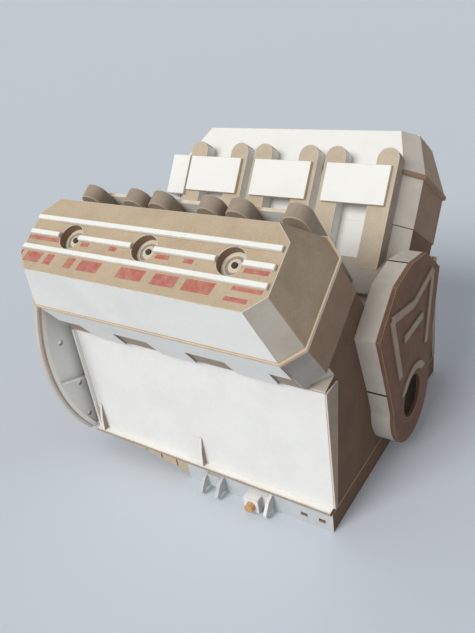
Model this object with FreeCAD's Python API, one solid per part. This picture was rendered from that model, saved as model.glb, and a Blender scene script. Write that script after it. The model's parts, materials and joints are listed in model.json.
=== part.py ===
import FreeCAD, Part
import math
import os

# V-six engine built as a card and greyboard model, with the pieces it needs inside to turn.
# X runs along the crankshaft and +X is the timing-cover end; the crank axis is y = 0, z = 0.
# x = 0 is the rear face of the bell plate. All sizes are in millimetres.

os.makedirs("parts", exist_ok=True)

Vec = FreeCAD.Vector
ORIGIN = Vec(0, 0, 0)
ALONG_X = Vec(1, 0, 0)

# Sheet materials
board = 1.8
card = 0.8
running = 0.05
clear = 0.3

# Bank layout: each bank leans by bank_tilt, and its covers sit bank_offset outboard of the bores
bank_tilt = 35.0
bank_offset = 3.65
cylinder_pitch = 36.4
first_bore_x = 30.8
bank_stagger = 3.6
cylinders_per_bank = 3
front_room = 10.9
plate_overhang = 1.1
bank_depth = 30.0

# Crank train
crank_throw = 5.0
journal_r = 3.0
crankpin_r = 2.5
big_end_r = 5.2
big_end_width = 3.2
small_end_r = 2.8
rod_length = 47.5
rod_neck = 3.6
rod_flare = 0.6
rod_groove_width = 1.8
rod_groove_depth = 0.8
rod_side_gap = 0.3
wrist_pin_r = 1.5
wrist_pin_half = 5.6
web_thick = 2.4
web_arm_r = 4.3
web_overlap = 0.8
counterweight_r = 10.0
first_crankpin_angle = 20.0
crankpin_step = 120.0
crank_tail = 0.8
nose_gap = 3.1
bearing_thick = 2.0
front_bearing_step = 7.8
bearing_top_z = 21.0
bearing_shoulder_z = 4.0
bearing_hole_r = 6.0
bearing_hole_y = 38.0
bearing_hole_z = -4.0
cap_half = 9.0
cap_depth = 8.0
cap_corner = 4.0
flywheel_r = 26.0
flywheel_thick = 4.2
flywheel_gap = 1.6
flywheel_teeth = 30
tooth_depth = 1.4
tooth_gap = 1.8
flywheel_rim = 5.0
flywheel_hub_r = 8.0
flywheel_recess = 1.4

# Cylinders and pistons
bore_r = 10.0
liner_wall = 0.8
liner_reach = 1.5
piston_wall = 0.9
piston_skirt = 5.0
piston_cavity = 13.5
piston_crown = 1.5
piston_clearance = 0.07
ring_land = 0.8
ring_width = 0.8
ring_depth = 0.35
deck_gap = 0.5

# Head boxes, cover plates and cam covers, as heights along a bank's axis and widths across it
head_rear_x = 2.2
head_height = 21.2
waist_height = 9.0
waist_step = 2.2
plate_half = 23.8
plate_reach = 1.0
plate_chamfer = 7.0
plate_rim = 5.0
cover_height = 18.8
cover_lip = 0.6
cover_slope = 7.7
cover_top_inset = 8.5
cover_top_chamfer = 6.5
cover_wall = 1.9
cover_rib_width = 2.2
cover_rib_height = 1.3
cover_rib_inset = 1.0
rib_gap = 0.3
pad_drop = 2.0
pad_width = 17.5
pad_slant = 0.6

# Plug wells and plugs
plug_step = 0.3
well_r = 5.2
well_depth = 4.3
well_wall = 0.8
plug_stem_r = 2.2
plug_tip_r = 1.2
plug_disc_height = 1.2
plug_knob_r = 0.9
plug_knob_height = 0.7
plug_joint = 0.1

# Crankcase
case_rear_x = board
case_foot_z = -17.0
valley_z = 54.0
shoulder_gap = 1.25
shoulder_drop = 1.5
panel_step = 4.8
post_width = 1.6
post_stand = 2.0
strip_top_width = 9.0
strip_foot_width = 2.0
rail_depth = 3.6
rail_height = board
bed_border = 5.0
bed_rear_border = 6.0
gusset_width = 1.4
gusset_height = 14.0
gusset_reach = 2.8
gusset_tip = 0.5
gusset_inset = 2.4

# Sump
sump_stand = 2.4
sump_depth = 9.7
sump_length = 70.9
ramp_length = 44.0
ramp_inset = 1.2
ramp_lip = 3.0
ramp_floor = 12.0
ramp_floor_gap = 0.2
ramp_slots = (0.42, 0.62, 0.82)
ramp_slot_width = 1.4
ramp_slot_depth = 0.9
slot_size = 2.6
slot_height = 1.4
slot_low = 3.6
slot_insets = (14.0, 6.0)

# Engine mounts on the sump sides
cheek_reach = 7.0
cheek_thick = 1.6
cheek_inset = 0.6
cheek_slope = 1.6
cheek_point = 2.2
bracket_step = 11.6
bracket_gap = 8.0
bracket_web = 1.6
boss_step = 36.4
boss_size = 7.0
boss_stand = 5.2
boss_low = 0.8
boss_cheek_gap = 7.2
mount_pin_r = 2.0
mount_pin_seat = 4.4
mount_pin_stand = 2.4
mount_pin_share = 0.45

# Bell plate at the rear
bell_flare = 4.94
bell_centre_z = 26.0
bell_top_rise = 2.0
bell_rim_inset = 1.4
bell_rim_width = 2.2
bell_rim_height = 1.5
bell_rib_width = 1.6
bell_rib_root_z = 10.5
bell_rib_end_z = 16.0
bell_bolt_r = 1.2
bell_bolt_step = 3.2
bell_bolt_z = 9.0
bell_upper_bolt_step = 7.0
bell_upper_bolt_z = 33.0

# Timing cover
timing_depth = 10.0
timing_wall = 1.8
timing_hole_r = 9.6
timing_foot_r = 21.0
timing_foot_z = 0.5
timing_foot_angle = 8.0
timing_top_z = 62.0
timing_shoulder_y = 16.0
timing_shoulder_z = 59.4
timing_wide_y = 33.0
timing_wide_z = 45.5
timing_waist_y = 23.6
timing_waist_z = 14.5
strip_width = 3.4
strip_height = 0.8
brace_top_inset = 10.5
brace_top_rise = 3.5
brace_foot_inset = 9.1
brace_foot_rise = 4.0
brace_dip = 17.5
hoop_gap = 2.4
hoop_low_z = 8.0
bar_half = 10.5
bar_drop = 28.0

# Intake pillars and plates
pillar_width = 9.6
pillar_gap = 3.4
pillar_depth = 7.2
pillar_rise = 7.0
right_intake_shift = -5.0
right_intake_lift = 2.5
intake_plate_gap = 7.6
intake_plate_drop = 15.8
intake_plate_rise = 1.0
intake_plate_thick = 1.6

# Camshafts and their drive
cam_rise = 3.8
wheel_half_gap = 1.4
belt_room = 1.15
cam_shaft_r = 2.4
cam_base_r = 3.3
cam_nose_r = 1.5
cam_nose_out = 3.1
cam_lobe_width = 2.4
cam_lobe_spread = 5.5
cam_tail = 2.0
cam_front_bearer = 9.6
intake_lobe_angle = 40.0
exhaust_lobe_angle = -70.0
bearer_thick = 1.8
bearer_lip = 0.4
cam_cap_half = 4.4
cam_cap_height = 3.6
cam_cap_side = 1.6
cam_cap_top_half = 2.4
crank_wheel_flange = 0.9
crank_wheel_lip = 0.4
cam_wheel_lip = 0.2
cam_wheel_hole_r = 1.5
cam_wheel_rim = 1.2
cam_wheel_holes = 5
belt_reach = 12.6
belt_apart = 1.8
belt_width = 1.6
belt_thick = 0.6
belt_window = 0.6
belt_window_valley = 0.6
belt_window_outer = 1.8

# How far a cutting shape reaches past what it cuts
past = 1.0
hair = 0.001
deck_cut = 4.0

tilt = math.radians(bank_tilt)
sin_tilt = math.sin(tilt)
cos_tilt = math.cos(tilt)
corner_shift = 2 - math.sqrt(2)

# Places along the crank
crankpin_xs = [first_bore_x + bank_stagger / 2 + n * cylinder_pitch for n in range(cylinders_per_bank)]
right_bores = [x - bank_stagger / 2 for x in crankpin_xs]
left_bores = [x + bank_stagger / 2 for x in crankpin_xs]
liner_r = bore_r + liner_wall
case_front_x = left_bores[-1] + liner_r + front_room
plate_length = case_front_x + plate_overhang
right_belt_x = right_bores[-1] + belt_reach
left_belt_x = right_belt_x + belt_width + belt_apart
face_x = case_front_x + timing_depth - board
crank_nose_x = face_x - nose_gap
crank_rear_x = -flywheel_gap - flywheel_thick - crank_tail
bearing_xs = [x - cylinder_pitch / 2 for x in crankpin_xs] + [crankpin_xs[-1] + front_bearing_step]
panel_rear_x = case_rear_x + panel_step
sump_rear_x = case_front_x - sump_length
ramp_rear_x = sump_rear_x - ramp_length
bracket_x = sump_rear_x + bracket_step
boss_x = sump_rear_x + boss_step

# Levels along a bank's axis, measured from the crank axis
liner_foot_level = rod_length - crank_throw - piston_skirt - liner_reach
deck_level = crank_throw + rod_length + piston_cavity + piston_crown + deck_gap
head_floor_level = deck_level + board
pad_foot_level = deck_level - pad_drop
head_waist_level = deck_level + waist_height
plate_level = deck_level + head_height
plate_top_level = plate_level + board
cam_level = plate_level + cam_rise
cover_top_level = plate_top_level + cover_height
pillar_top_level = plate_top_level + pillar_rise

# The belt drive: the cam wheels fill the cover plate's opening and turn at half the crank's speed
belt_span = plate_half - plate_rim - belt_room - belt_thick - running
cam_wheel_r = (belt_span - wheel_half_gap) / 2
crank_wheel_r = cam_wheel_r / 2
cam_spread = cam_wheel_r + wheel_half_gap
bearer_half = cam_spread + cam_cap_half + bearer_lip
cam_wheel_hole_ring = cam_wheel_r - cam_wheel_rim - cam_wheel_hole_r

# Places across a bank
head_half = plate_half - plate_reach
head_valley = bank_offset - head_half
head_outer = bank_offset + head_half
waist_outer = head_outer - waist_step
plug_line = bank_offset - plug_step
cam_lines = {"intake": bank_offset - cam_spread, "exhaust": bank_offset + cam_spread}
pillar_spacing = cylinder_pitch - pillar_width - pillar_gap

# Places across the whole engine
shoulder_level = pad_foot_level - shoulder_gap
case_half = shoulder_level * sin_tilt + waist_outer * cos_tilt
panel_top_z = shoulder_level * cos_tilt - waist_outer * sin_tilt - shoulder_drop
rail_foot_z = case_foot_z - rail_height
sump_half = case_half + sump_stand
sump_foot_z = rail_foot_z - sump_depth
bell_top_z = valley_z + bell_top_rise
bell_r = math.hypot(case_half + bell_flare, bell_centre_z - case_foot_z)


def solid_from(points, push):
    face = Part.Face(Part.makePolygon(points + [points[0]]))
    return face.extrude(push)


def across(outline, x_from, x_to):
    """A prism along X from an outline of (y, z) points."""
    return solid_from([Vec(x_from, y, z) for y, z in outline], Vec(x_to - x_from, 0, 0))


def upright(outline, low, high):
    """A prism along the bank axis from an outline of (x, v) points."""
    return solid_from([Vec(x, v, low) for x, v in outline], Vec(0, 0, high - low))


def sideways(outline, v_from, v_to):
    """A prism across the bank from an outline of (x, w) points."""
    return solid_from([Vec(x, v_from, w) for x, w in outline], Vec(0, v_to - v_from, 0))


def block(x_from, x_to, y_from, y_to, z_from, z_to):
    return Part.makeBox(x_to - x_from, y_to - y_from, z_to - z_from, Vec(x_from, y_from, z_from))


def rod_along_x(radius, x_from, x_to, y=0.0, z=0.0):
    return Part.makeCylinder(radius, x_to - x_from, Vec(x_from, y, z), ALONG_X)


def peg(radius, low, high, x, v):
    return Part.makeCylinder(radius, high - low, Vec(x, v, low), Vec(0, 0, 1))


def octagon(x_from, x_to, v_from, v_to, chamfer):
    """A rectangle with four cut corners, as (x, v) points."""
    return [
        (x_from + chamfer, v_from),
        (x_to - chamfer, v_from),
        (x_to, v_from + chamfer),
        (x_to, v_to - chamfer),
        (x_to - chamfer, v_to),
        (x_from + chamfer, v_to),
        (x_from, v_to - chamfer),
        (x_from, v_from + chamfer),
    ]


def mirrored(shape):
    return shape.mirror(ORIGIN, Vec(0, 1, 0))


def left(shape):
    """Leans a piece drawn in bank coordinates over to the left bank (+Y)."""
    leaned = shape.copy()
    leaned.rotate(ORIGIN, ALONG_X, -bank_tilt)
    return leaned


def right(shape):
    """Leans a piece drawn in bank coordinates over to the right bank (-Y)."""
    return mirrored(left(shape))


def save(name, *solids):
    pieces = []
    for shape in solids:
        tidy = shape.removeSplitter() if len(shape.Solids) == 1 else shape
        pieces.extend(tidy.Solids)
    whole = pieces[0] if len(pieces) == 1 else Part.makeCompound(pieces)
    whole.exportStep("parts/" + name + ".step")


# Crankcase

def bank_prism(x_from, x_to, inset, low, high):
    return upright(
        octagon(
            x_from + inset,
            x_to - inset,
            head_valley + inset,
            waist_outer - inset,
            plate_chamfer - inset * corner_shift,
        ),
        low,
        high,
    )


def case_outline(inset):
    """The lower crankcase: upright sides and a flat roof under the valley."""
    half = case_half - inset
    outer = waist_outer - inset
    shoulder_z = (half - outer * cos_tilt) / sin_tilt * cos_tilt - outer * sin_tilt - shoulder_drop
    roof_z = valley_z - board - inset
    roof_w = (roof_z + (head_valley + inset) * sin_tilt) / cos_tilt
    roof_y = roof_w * sin_tilt + (head_valley + inset) * cos_tilt
    return [
        (half, case_foot_z),
        (half, shoulder_z),
        (roof_y, roof_z),
        (-roof_y, roof_z),
        (-half, shoulder_z),
        (-half, case_foot_z),
    ]


def belt_gap(x_from):
    """The slot a drive belt passes through in a deck board or a head floor."""
    return block(
        x_from - belt_window,
        x_from + belt_width + belt_window,
        cam_lines["intake"] - cam_wheel_r + belt_window_valley,
        cam_lines["exhaust"] + cam_wheel_r - belt_window_outer,
        deck_level - deck_cut,
        head_floor_level + past,
    )


banks = ((right, right_bores, right_belt_x), (left, left_bores, left_belt_x))


def make_crankcase():
    foot_level = deck_level - bank_depth
    outer = across(case_outline(0.0), case_rear_x, case_front_x)
    inner = across(case_outline(board), case_rear_x + board, case_front_x - board)
    for lean in (right, left):
        outer = outer.fuse(lean(bank_prism(case_rear_x, case_front_x, 0.0, foot_level, deck_level)))
        inner = inner.fuse(lean(bank_prism(case_rear_x, case_front_x, board, foot_level,
                                           deck_level - board)))
    foot = block(case_rear_x + board, case_front_x - board, -case_half + board, case_half - board,
                 case_foot_z - past, case_foot_z + past)
    case = outer.cut(inner.fuse(foot))
    for lean, bores, belt_x in banks:
        for x in bores:
            case = case.cut(lean(peg(liner_r, deck_level - deck_cut, deck_level + past, x, 0.0)))
        case = case.cut(lean(belt_gap(belt_x)))
    return case.cut(rod_along_x(journal_r + clear, case_rear_x - past, case_front_x + past))


save("crankcase", make_crankcase())

panel = block(panel_rear_x, case_front_x, case_half, case_half + card, case_foot_z, panel_top_z)
save("left_side_panel", panel)
save("right_side_panel", mirrored(panel))

bed_half = case_half + rail_depth
bed_plate = block(case_rear_x + board, case_front_x, -bed_half, bed_half, rail_foot_z, case_foot_z)
bed_plate = bed_plate.cut(block(ramp_rear_x + bed_rear_border, case_front_x - bed_border,
                                -case_half + bed_border, case_half - bed_border,
                                rail_foot_z - past, case_foot_z + past))
save("bed_plate", bed_plate)


def make_gusset(x):
    face_y = case_half + card
    outline = [
        (face_y, case_foot_z),
        (face_y + gusset_reach, case_foot_z),
        (face_y + gusset_reach * 0.75, case_foot_z + gusset_height * 0.5),
        (face_y + gusset_tip, case_foot_z + gusset_height),
        (face_y, case_foot_z + gusset_height),
    ]
    return across(outline, x - gusset_width / 2, x + gusset_width / 2)


first_gusset_x = panel_rear_x + gusset_inset
middle_gusset_x = (panel_rear_x + case_front_x) / 2
gussets = [make_gusset(x) for x in (first_gusset_x, middle_gusset_x)]
save("side_gussets", *(gussets + [mirrored(g) for g in gussets]))

post = block(panel_rear_x - post_width, panel_rear_x, case_half, case_half + post_stand,
             case_foot_z, panel_top_z)
save("rear_posts", post, mirrored(post))

corner = across(
    [
        (case_half + card, case_foot_z),
        (case_half + card, panel_top_z),
        (case_half + card - strip_top_width, panel_top_z),
        (case_half + card - strip_foot_width, case_foot_z),
    ],
    case_front_x,
    case_front_x + card,
)
save("corner_strips", corner, mirrored(corner))

valley_low = valley_z - board


def valley_half(z):
    w = (z + head_valley * sin_tilt) / cos_tilt
    return w * sin_tilt + head_valley * cos_tilt


valley_cover = across(
    [
        (valley_half(valley_low), valley_low),
        (valley_half(valley_z), valley_z),
        (-valley_half(valley_z), valley_z),
        (-valley_half(valley_low), valley_low),
    ],
    case_rear_x,
    case_front_x,
)
save("valley_cover", valley_cover)

# Main bearings

def make_bearing_wall(x):
    half = case_half - board
    outline = [
        (cap_half, case_foot_z),
        (half, case_foot_z),
        (half, bearing_shoulder_z),
        (bearing_top_z, bearing_top_z),
        (-bearing_top_z, bearing_top_z),
        (-half, bearing_shoulder_z),
        (-half, case_foot_z),
        (-cap_half, case_foot_z),
        (-cap_half, 0.0),
        (cap_half, 0.0),
    ]
    wall = across(outline, x - bearing_thick / 2, x + bearing_thick / 2)
    wall = wall.cut(rod_along_x(journal_r + running, x - bearing_thick, x + bearing_thick))
    for side in (-1, 1):
        wall = wall.cut(rod_along_x(bearing_hole_r, x - bearing_thick, x + bearing_thick,
                                    side * bearing_hole_y, bearing_hole_z))
    return wall


def make_bearing_cap(x):
    foot_half = cap_half - cap_corner
    outline = [
        (-cap_half, 0.0),
        (cap_half, 0.0),
        (cap_half, cap_corner - cap_depth),
        (foot_half, -cap_depth),
        (-foot_half, -cap_depth),
        (-cap_half, cap_corner - cap_depth),
    ]
    cap = across(outline, x - bearing_thick / 2, x + bearing_thick / 2)
    return cap.cut(rod_along_x(journal_r + running, x - bearing_thick, x + bearing_thick))


save("bearing_walls", *[make_bearing_wall(x) for x in bearing_xs])
save("bearing_caps", *[make_bearing_cap(x) for x in bearing_xs])

# Cylinder liners

def make_liner(x):
    tube = peg(liner_r, liner_foot_level, deck_level, x, 0.0)
    return tube.cut(peg(bore_r, liner_foot_level - past, deck_level + past, x, 0.0))


right_liners = [right(make_liner(x)) for x in right_bores]
left_liners = [left(make_liner(x)) for x in left_bores]
save("cylinder_liners", *(right_liners + left_liners))

# Bell plate

def bell_disc(radius, x_from, x_to, low, high):
    disc = rod_along_x(radius, x_from, x_to, 0.0, bell_centre_z)
    return disc.common(block(x_from, x_to, -radius, radius, low, high))


bell = bell_disc(bell_r, 0.0, board, case_foot_z, bell_top_z)
bell = bell.cut(rod_along_x(journal_r + clear, -past, board + past))
for side in (-1, 1):
    for y, z in (
        (case_half + bell_bolt_step, -bell_bolt_z),
        (case_half + bell_bolt_step, bell_bolt_z),
        (case_half + bell_upper_bolt_step, bell_upper_bolt_z),
    ):
        bell = bell.cut(rod_along_x(bell_bolt_r, -past, board + past, side * y, z))
save("bell_plate", bell)

rim_r = bell_r - bell_rim_inset
rim = bell_disc(rim_r, board, board + bell_rim_height, case_foot_z, bell_top_z)
rim = rim.cut(rod_along_x(rim_r - bell_rim_width, 0.0, board + bell_rim_height + past, 0.0, bell_centre_z))
save("bell_rim", *rim.Solids)


def make_bell_rib():
    """A strip from the case's side out to the rim, trimmed round where it meets the rim."""
    end_y = math.sqrt(rim_r ** 2 - (bell_rib_end_z - bell_centre_z) ** 2)
    half = bell_rib_width / 2
    rib = [
        (case_half, bell_rib_root_z - half),
        (end_y, bell_rib_end_z - half),
        (end_y, bell_rib_end_z + half),
        (case_half, bell_rib_root_z + half),
    ]
    inside = bell_disc(rim_r - bell_rim_width, board, board + bell_rim_height, case_foot_z, bell_top_z)
    return across(rib, board, board + bell_rim_height).common(inside)


save("bell_ribs", make_bell_rib(), mirrored(make_bell_rib()))

# Sump

def make_sump():
    outer = block(sump_rear_x, case_front_x, -sump_half, sump_half, sump_foot_z, rail_foot_z)
    inner = block(sump_rear_x + board, case_front_x - board, -sump_half + board, sump_half - board,
                  sump_foot_z + board, rail_foot_z + past)
    pan = outer.cut(inner)
    slot_z = sump_foot_z + slot_low
    for inset in slot_insets:
        x = case_front_x - inset
        for y in (-sump_half - past, sump_half - board - past):
            pan = pan.cut(block(x, x + slot_size, y, y + board + 2 * past, slot_z, slot_z + slot_height))
    return pan


save("sump_pan", make_sump())


def make_ramp():
    outline = [
        (ramp_rear_x, rail_foot_z),
        (sump_rear_x, rail_foot_z),
        (sump_rear_x, sump_foot_z + ramp_inset),
        (ramp_rear_x, rail_foot_z - ramp_inset),
    ]
    half = sump_half - ramp_inset
    ramp = solid_from([Vec(x, -half, z) for x, z in outline], Vec(0, 2 * half, 0))
    hollow_outline = [
        (ramp_rear_x + ramp_lip, rail_foot_z + past),
        (sump_rear_x - board, rail_foot_z + past),
        (sump_rear_x - board, sump_foot_z + ramp_inset + board),
        (ramp_rear_x + ramp_floor, rail_foot_z - ramp_inset),
        (ramp_rear_x + ramp_lip, rail_foot_z - ramp_floor_gap),
    ]
    inside = half - board
    hollow = solid_from([Vec(x, -inside, z) for x, z in hollow_outline], Vec(0, 2 * inside, 0))
    ramp = ramp.cut(hollow)
    for share in ramp_slots:
        x = ramp_rear_x + ramp_length * share
        for y in (-half - past, half - ramp_slot_depth):
            ramp = ramp.cut(block(x, x + ramp_slot_width, y, y + past + ramp_slot_depth,
                                  sump_foot_z, rail_foot_z + past))
    return ramp


save("sump_ramp", make_ramp())

# Engine mounts

def make_cheek(x):
    """A pointed plate standing out from the sump's side."""
    foot = sump_foot_z + cheek_inset
    top = rail_foot_z - cheek_inset
    outline = [
        (sump_half, top),
        (sump_half + cheek_reach * 0.55, top - cheek_slope),
        (sump_half + cheek_reach, foot + cheek_point),
        (sump_half + cheek_reach * 0.86, foot),
        (sump_half + cheek_reach * 0.5, foot + cheek_slope),
        (sump_half, foot + cheek_inset),
    ]
    return across(outline, x - cheek_thick / 2, x + cheek_thick / 2)


def make_bracket():
    bracket = make_cheek(bracket_x).fuse(make_cheek(bracket_x + bracket_gap))
    web = block(bracket_x, bracket_x + bracket_gap, sump_half, sump_half + bracket_web,
                sump_foot_z + cheek_inset + cheek_slope, rail_foot_z - cheek_inset - cheek_thick / 2)
    return bracket.fuse(web)


boss_foot_z = sump_foot_z + boss_low
boss_top_z = boss_foot_z + boss_size
pin_z = boss_foot_z + boss_size * mount_pin_share
pin_root_y = sump_half + boss_stand - mount_pin_seat


def make_boss():
    boss = block(boss_x - boss_size / 2, boss_x + boss_size / 2, sump_half, sump_half + boss_stand,
                 boss_foot_z, boss_top_z)
    web = block(boss_x, boss_x + boss_cheek_gap, sump_half, sump_half + bracket_web,
                boss_foot_z + cheek_slope, boss_top_z)
    boss = boss.fuse(web).fuse(make_cheek(boss_x + boss_cheek_gap))
    hole = Part.makeCylinder(mount_pin_r, mount_pin_seat + past, Vec(boss_x, pin_root_y, pin_z),
                             Vec(0, 1, 0))
    return boss.cut(hole)


def make_mount_pin():
    return Part.makeCylinder(mount_pin_r, mount_pin_seat + mount_pin_stand, Vec(boss_x, pin_root_y, pin_z),
                             Vec(0, 1, 0))


save("mount_brackets", make_bracket(), mirrored(make_bracket()))
save("pin_bosses", make_boss(), mirrored(make_boss()))
save("mount_pins", make_mount_pin(), mirrored(make_mount_pin()))

# Heads

def bearer_xs(bores):
    return [x - cylinder_pitch / 2 for x in bores] + [bores[-1] + cam_front_bearer]


def make_head(bores, belt_x):
    """An open box with a skirt outside the deck, a floor and a bearer board at each cam bearing."""
    inside_valley = head_valley + board
    inside_outer = head_outer - board
    plan = octagon(head_rear_x, case_front_x, head_valley, head_outer, plate_chamfer)
    hollow_plan = octagon(head_rear_x + board, case_front_x - board, inside_valley, inside_outer,
                          plate_chamfer - board * corner_shift)
    over_deck = block(head_rear_x - past, case_front_x + past, head_valley - past, waist_outer,
                      pad_foot_level - past, deck_level)
    box = upright(plan, pad_foot_level, plate_level).cut(over_deck)
    box = box.cut(upright(hollow_plan, head_floor_level, plate_level + past))
    for x in bearer_xs(bores):
        outline = [
            (inside_valley, head_floor_level),
            (inside_outer, head_floor_level),
            (inside_outer, plate_level),
            (bank_offset + bearer_half, plate_level),
            (bank_offset + bearer_half, cam_level),
            (bank_offset - bearer_half, cam_level),
            (bank_offset - bearer_half, plate_level),
            (inside_valley, plate_level),
        ]
        box = box.fuse(across(outline, x - bearer_thick / 2, x + bearer_thick / 2))
    for line in cam_lines.values():
        box = box.cut(rod_along_x(cam_shaft_r + running, head_rear_x + board, case_front_x - board,
                                  line, cam_level))
    for x in bores:
        box = box.cut(peg(plug_tip_r + running, deck_level - past, head_floor_level + past, x, plug_line))
    return box.cut(belt_gap(belt_x))


def make_cam_caps(bores):
    caps = []
    side = cam_level + cam_cap_side
    top = cam_level + cam_cap_height
    for x in bearer_xs(bores):
        for line in cam_lines.values():
            outline = [
                (line - cam_cap_half, cam_level),
                (line + cam_cap_half, cam_level),
                (line + cam_cap_half, side),
                (line + cam_cap_top_half, top),
                (line - cam_cap_top_half, top),
                (line - cam_cap_half, side),
            ]
            cap = across(outline, x - bearer_thick / 2, x + bearer_thick / 2)
            caps.append(cap.cut(rod_along_x(cam_shaft_r + running, x - bearer_thick, x + bearer_thick,
                                            line, cam_level)))
    return caps


save("right_head", right(make_head(right_bores, right_belt_x)))
save("left_head", left(make_head(left_bores, left_belt_x)))
right_cam_caps = [right(c) for c in make_cam_caps(right_bores)]
left_cam_caps = [left(c) for c in make_cam_caps(left_bores)]
save("cam_caps", *(right_cam_caps + left_cam_caps))


def make_port_band(bores):
    """The card strip on the exhaust side, with one hanging pad at each cylinder."""
    strip = block(head_rear_x + plate_chamfer, case_front_x - plate_chamfer, head_outer, head_outer + card,
                  head_waist_level, plate_level)
    for x in bores:
        outline = [
            (x - pad_width / 2, pad_foot_level),
            (x + pad_width / 2, pad_foot_level),
            (x + pad_width / 2 + pad_slant, head_waist_level),
            (x - pad_width / 2 - pad_slant, head_waist_level),
        ]
        strip = strip.fuse(sideways(outline, head_outer, head_outer + card))
    return strip


save("right_port_band", right(make_port_band(right_bores)))
save("left_port_band", left(make_port_band(left_bores)))

# Cover plates and cam covers

def make_cover_plate():
    low = bank_offset - plate_half
    high = bank_offset + plate_half
    plate = upright(octagon(0.0, plate_length, low, high, plate_chamfer), plate_level, plate_top_level)
    opening = octagon(plate_rim, plate_length - plate_rim, low + plate_rim, high - plate_rim,
                      plate_chamfer - plate_rim * corner_shift)
    return plate.cut(upright(opening, plate_level - past, plate_top_level + past))


def ring_at(x_from, x_to, half, chamfer, level):
    outline = octagon(x_from, x_to, bank_offset - half, bank_offset + half, chamfer)
    points = [Vec(x, v, level) for x, v in outline]
    return Part.makePolygon(points + [points[0]])


def make_cam_cover(bores):
    """A hollow pyramid cover with a cup for each plug, drawn as an outer and an inner loft."""
    base_half = plate_half - cover_lip
    top_half = plate_half - cover_slope
    base = ring_at(cover_lip, plate_length - cover_lip, base_half, plate_chamfer, plate_top_level)
    top = ring_at(cover_top_inset, plate_length - cover_top_inset, top_half, cover_top_chamfer,
                  cover_top_level)
    shell = Part.makeLoft([base, top], True, True)
    roof = cover_top_level - board
    share = (roof - plate_top_level) / cover_height
    roof_x = cover_lip + share * (cover_top_inset - cover_lip) + cover_wall
    roof_half = base_half + share * (top_half - base_half) - cover_wall
    foot_x = cover_lip + cover_wall
    inner_base = ring_at(foot_x, plate_length - foot_x, base_half - cover_wall,
                         plate_chamfer - cover_wall * corner_shift, plate_top_level - hair)
    inner_roof = ring_at(roof_x, plate_length - roof_x, roof_half,
                         cover_top_chamfer - cover_wall * corner_shift, roof)
    shell = shell.cut(Part.makeLoft([inner_base, inner_roof], True, True))
    cup_floor = cover_top_level - well_depth - well_wall
    for x in bores:
        shell = shell.fuse(peg(well_r + well_wall, cup_floor, roof, x, plug_line))
    for x in bores:
        shell = shell.cut(peg(well_r, cover_top_level - well_depth, cover_top_level + past, x, plug_line))
        shell = shell.cut(peg(plug_stem_r + running, cup_floor - past, cover_top_level, x, plug_line))
    return shell


def make_cover_ribs(bores):
    rear = cover_top_inset + cover_rib_inset
    front = plate_length - cover_top_inset - cover_rib_inset
    high = cover_top_level + cover_rib_height
    half = cover_rib_width / 2
    spread = well_r + rib_gap + half
    lines = [bank_offset - spread, bank_offset, bank_offset + spread]
    upper, middle, lower = [block(rear, front, v - half, v + half, cover_top_level, high) for v in lines]
    for x in bores:
        middle = middle.cut(peg(well_r, cover_top_level - past, high + past, x, plug_line))
    return [upper, lower] + middle.Solids


def make_plug(x):
    floor = cover_top_level - well_depth
    disc = peg(well_r - running, floor, floor + plug_disc_height, x, plug_line)
    knob = peg(plug_knob_r, floor, floor + plug_disc_height + plug_knob_height, x, plug_line)
    stem = peg(plug_stem_r, head_floor_level, floor + plug_joint, x, plug_line)
    tip = peg(plug_tip_r, deck_level + plug_joint, head_floor_level + plug_joint, x, plug_line)
    return disc.fuse(knob).fuse(stem).fuse(tip)


save("right_cover_plate", right(make_cover_plate()))
save("left_cover_plate", left(make_cover_plate()))
save("right_cam_cover", right(make_cam_cover(right_bores)))
save("left_cam_cover", left(make_cam_cover(left_bores)))
save("right_cover_ribs", *[right(r) for r in make_cover_ribs(right_bores)])
save("left_cover_ribs", *[left(r) for r in make_cover_ribs(left_bores)])
right_plugs = [right(make_plug(x)) for x in right_bores]
left_plugs = [left(make_plug(x)) for x in left_bores]
save("spark_plugs", *(right_plugs + left_plugs))

# Intake pillars and plates

def make_pillar(x, lift):
    """A tombstone-shaped strip standing on the valley side of a head."""
    radius = pillar_width / 2
    centre_w = pillar_top_level + lift - radius
    v_back = head_valley
    v_front = head_valley - pillar_depth
    low = (valley_z + v_front * sin_tilt) / cos_tilt - deck_cut
    shaft = block(x - radius, x + radius, v_front, v_back, low, centre_w)
    crown = Part.makeCylinder(radius, pillar_depth, Vec(x, v_front, centre_w), Vec(0, 1, 0))
    pillar = shaft.fuse(crown)
    notch = block(x - radius - past, x + radius + past, bank_offset - plate_half, v_back + past,
                  plate_level, cover_top_level)
    return pillar.cut(notch)


def lean_pillars(lean, shift, lift):
    floor = block(0.0, plate_length, -case_half, case_half, case_foot_z, valley_z)
    pillars = []
    for x in crankpin_xs:
        for side in (-1, 1):
            pillar = make_pillar(x + shift + side * pillar_spacing / 2, lift)
            pillars.append(lean(pillar).cut(floor))
    return pillars


def make_intake_plate(x, lift):
    v_back = head_valley - pillar_depth
    half = (cylinder_pitch - intake_plate_gap) / 2
    return block(x - half, x + half, v_back - intake_plate_thick, v_back,
                 plate_level - intake_plate_drop + lift, plate_level + intake_plate_rise + lift)


save("right_intake_pillars", *lean_pillars(right, right_intake_shift, right_intake_lift))
save("left_intake_pillars", *lean_pillars(left, 0.0, 0.0))
right_plates = [right(make_intake_plate(x + right_intake_shift, right_intake_lift)) for x in crankpin_xs]
left_plates = [left(make_intake_plate(x, 0.0)) for x in crankpin_xs]
save("right_intake_plates", *right_plates)
save("left_intake_plates", *left_plates)

# Timing cover

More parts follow.
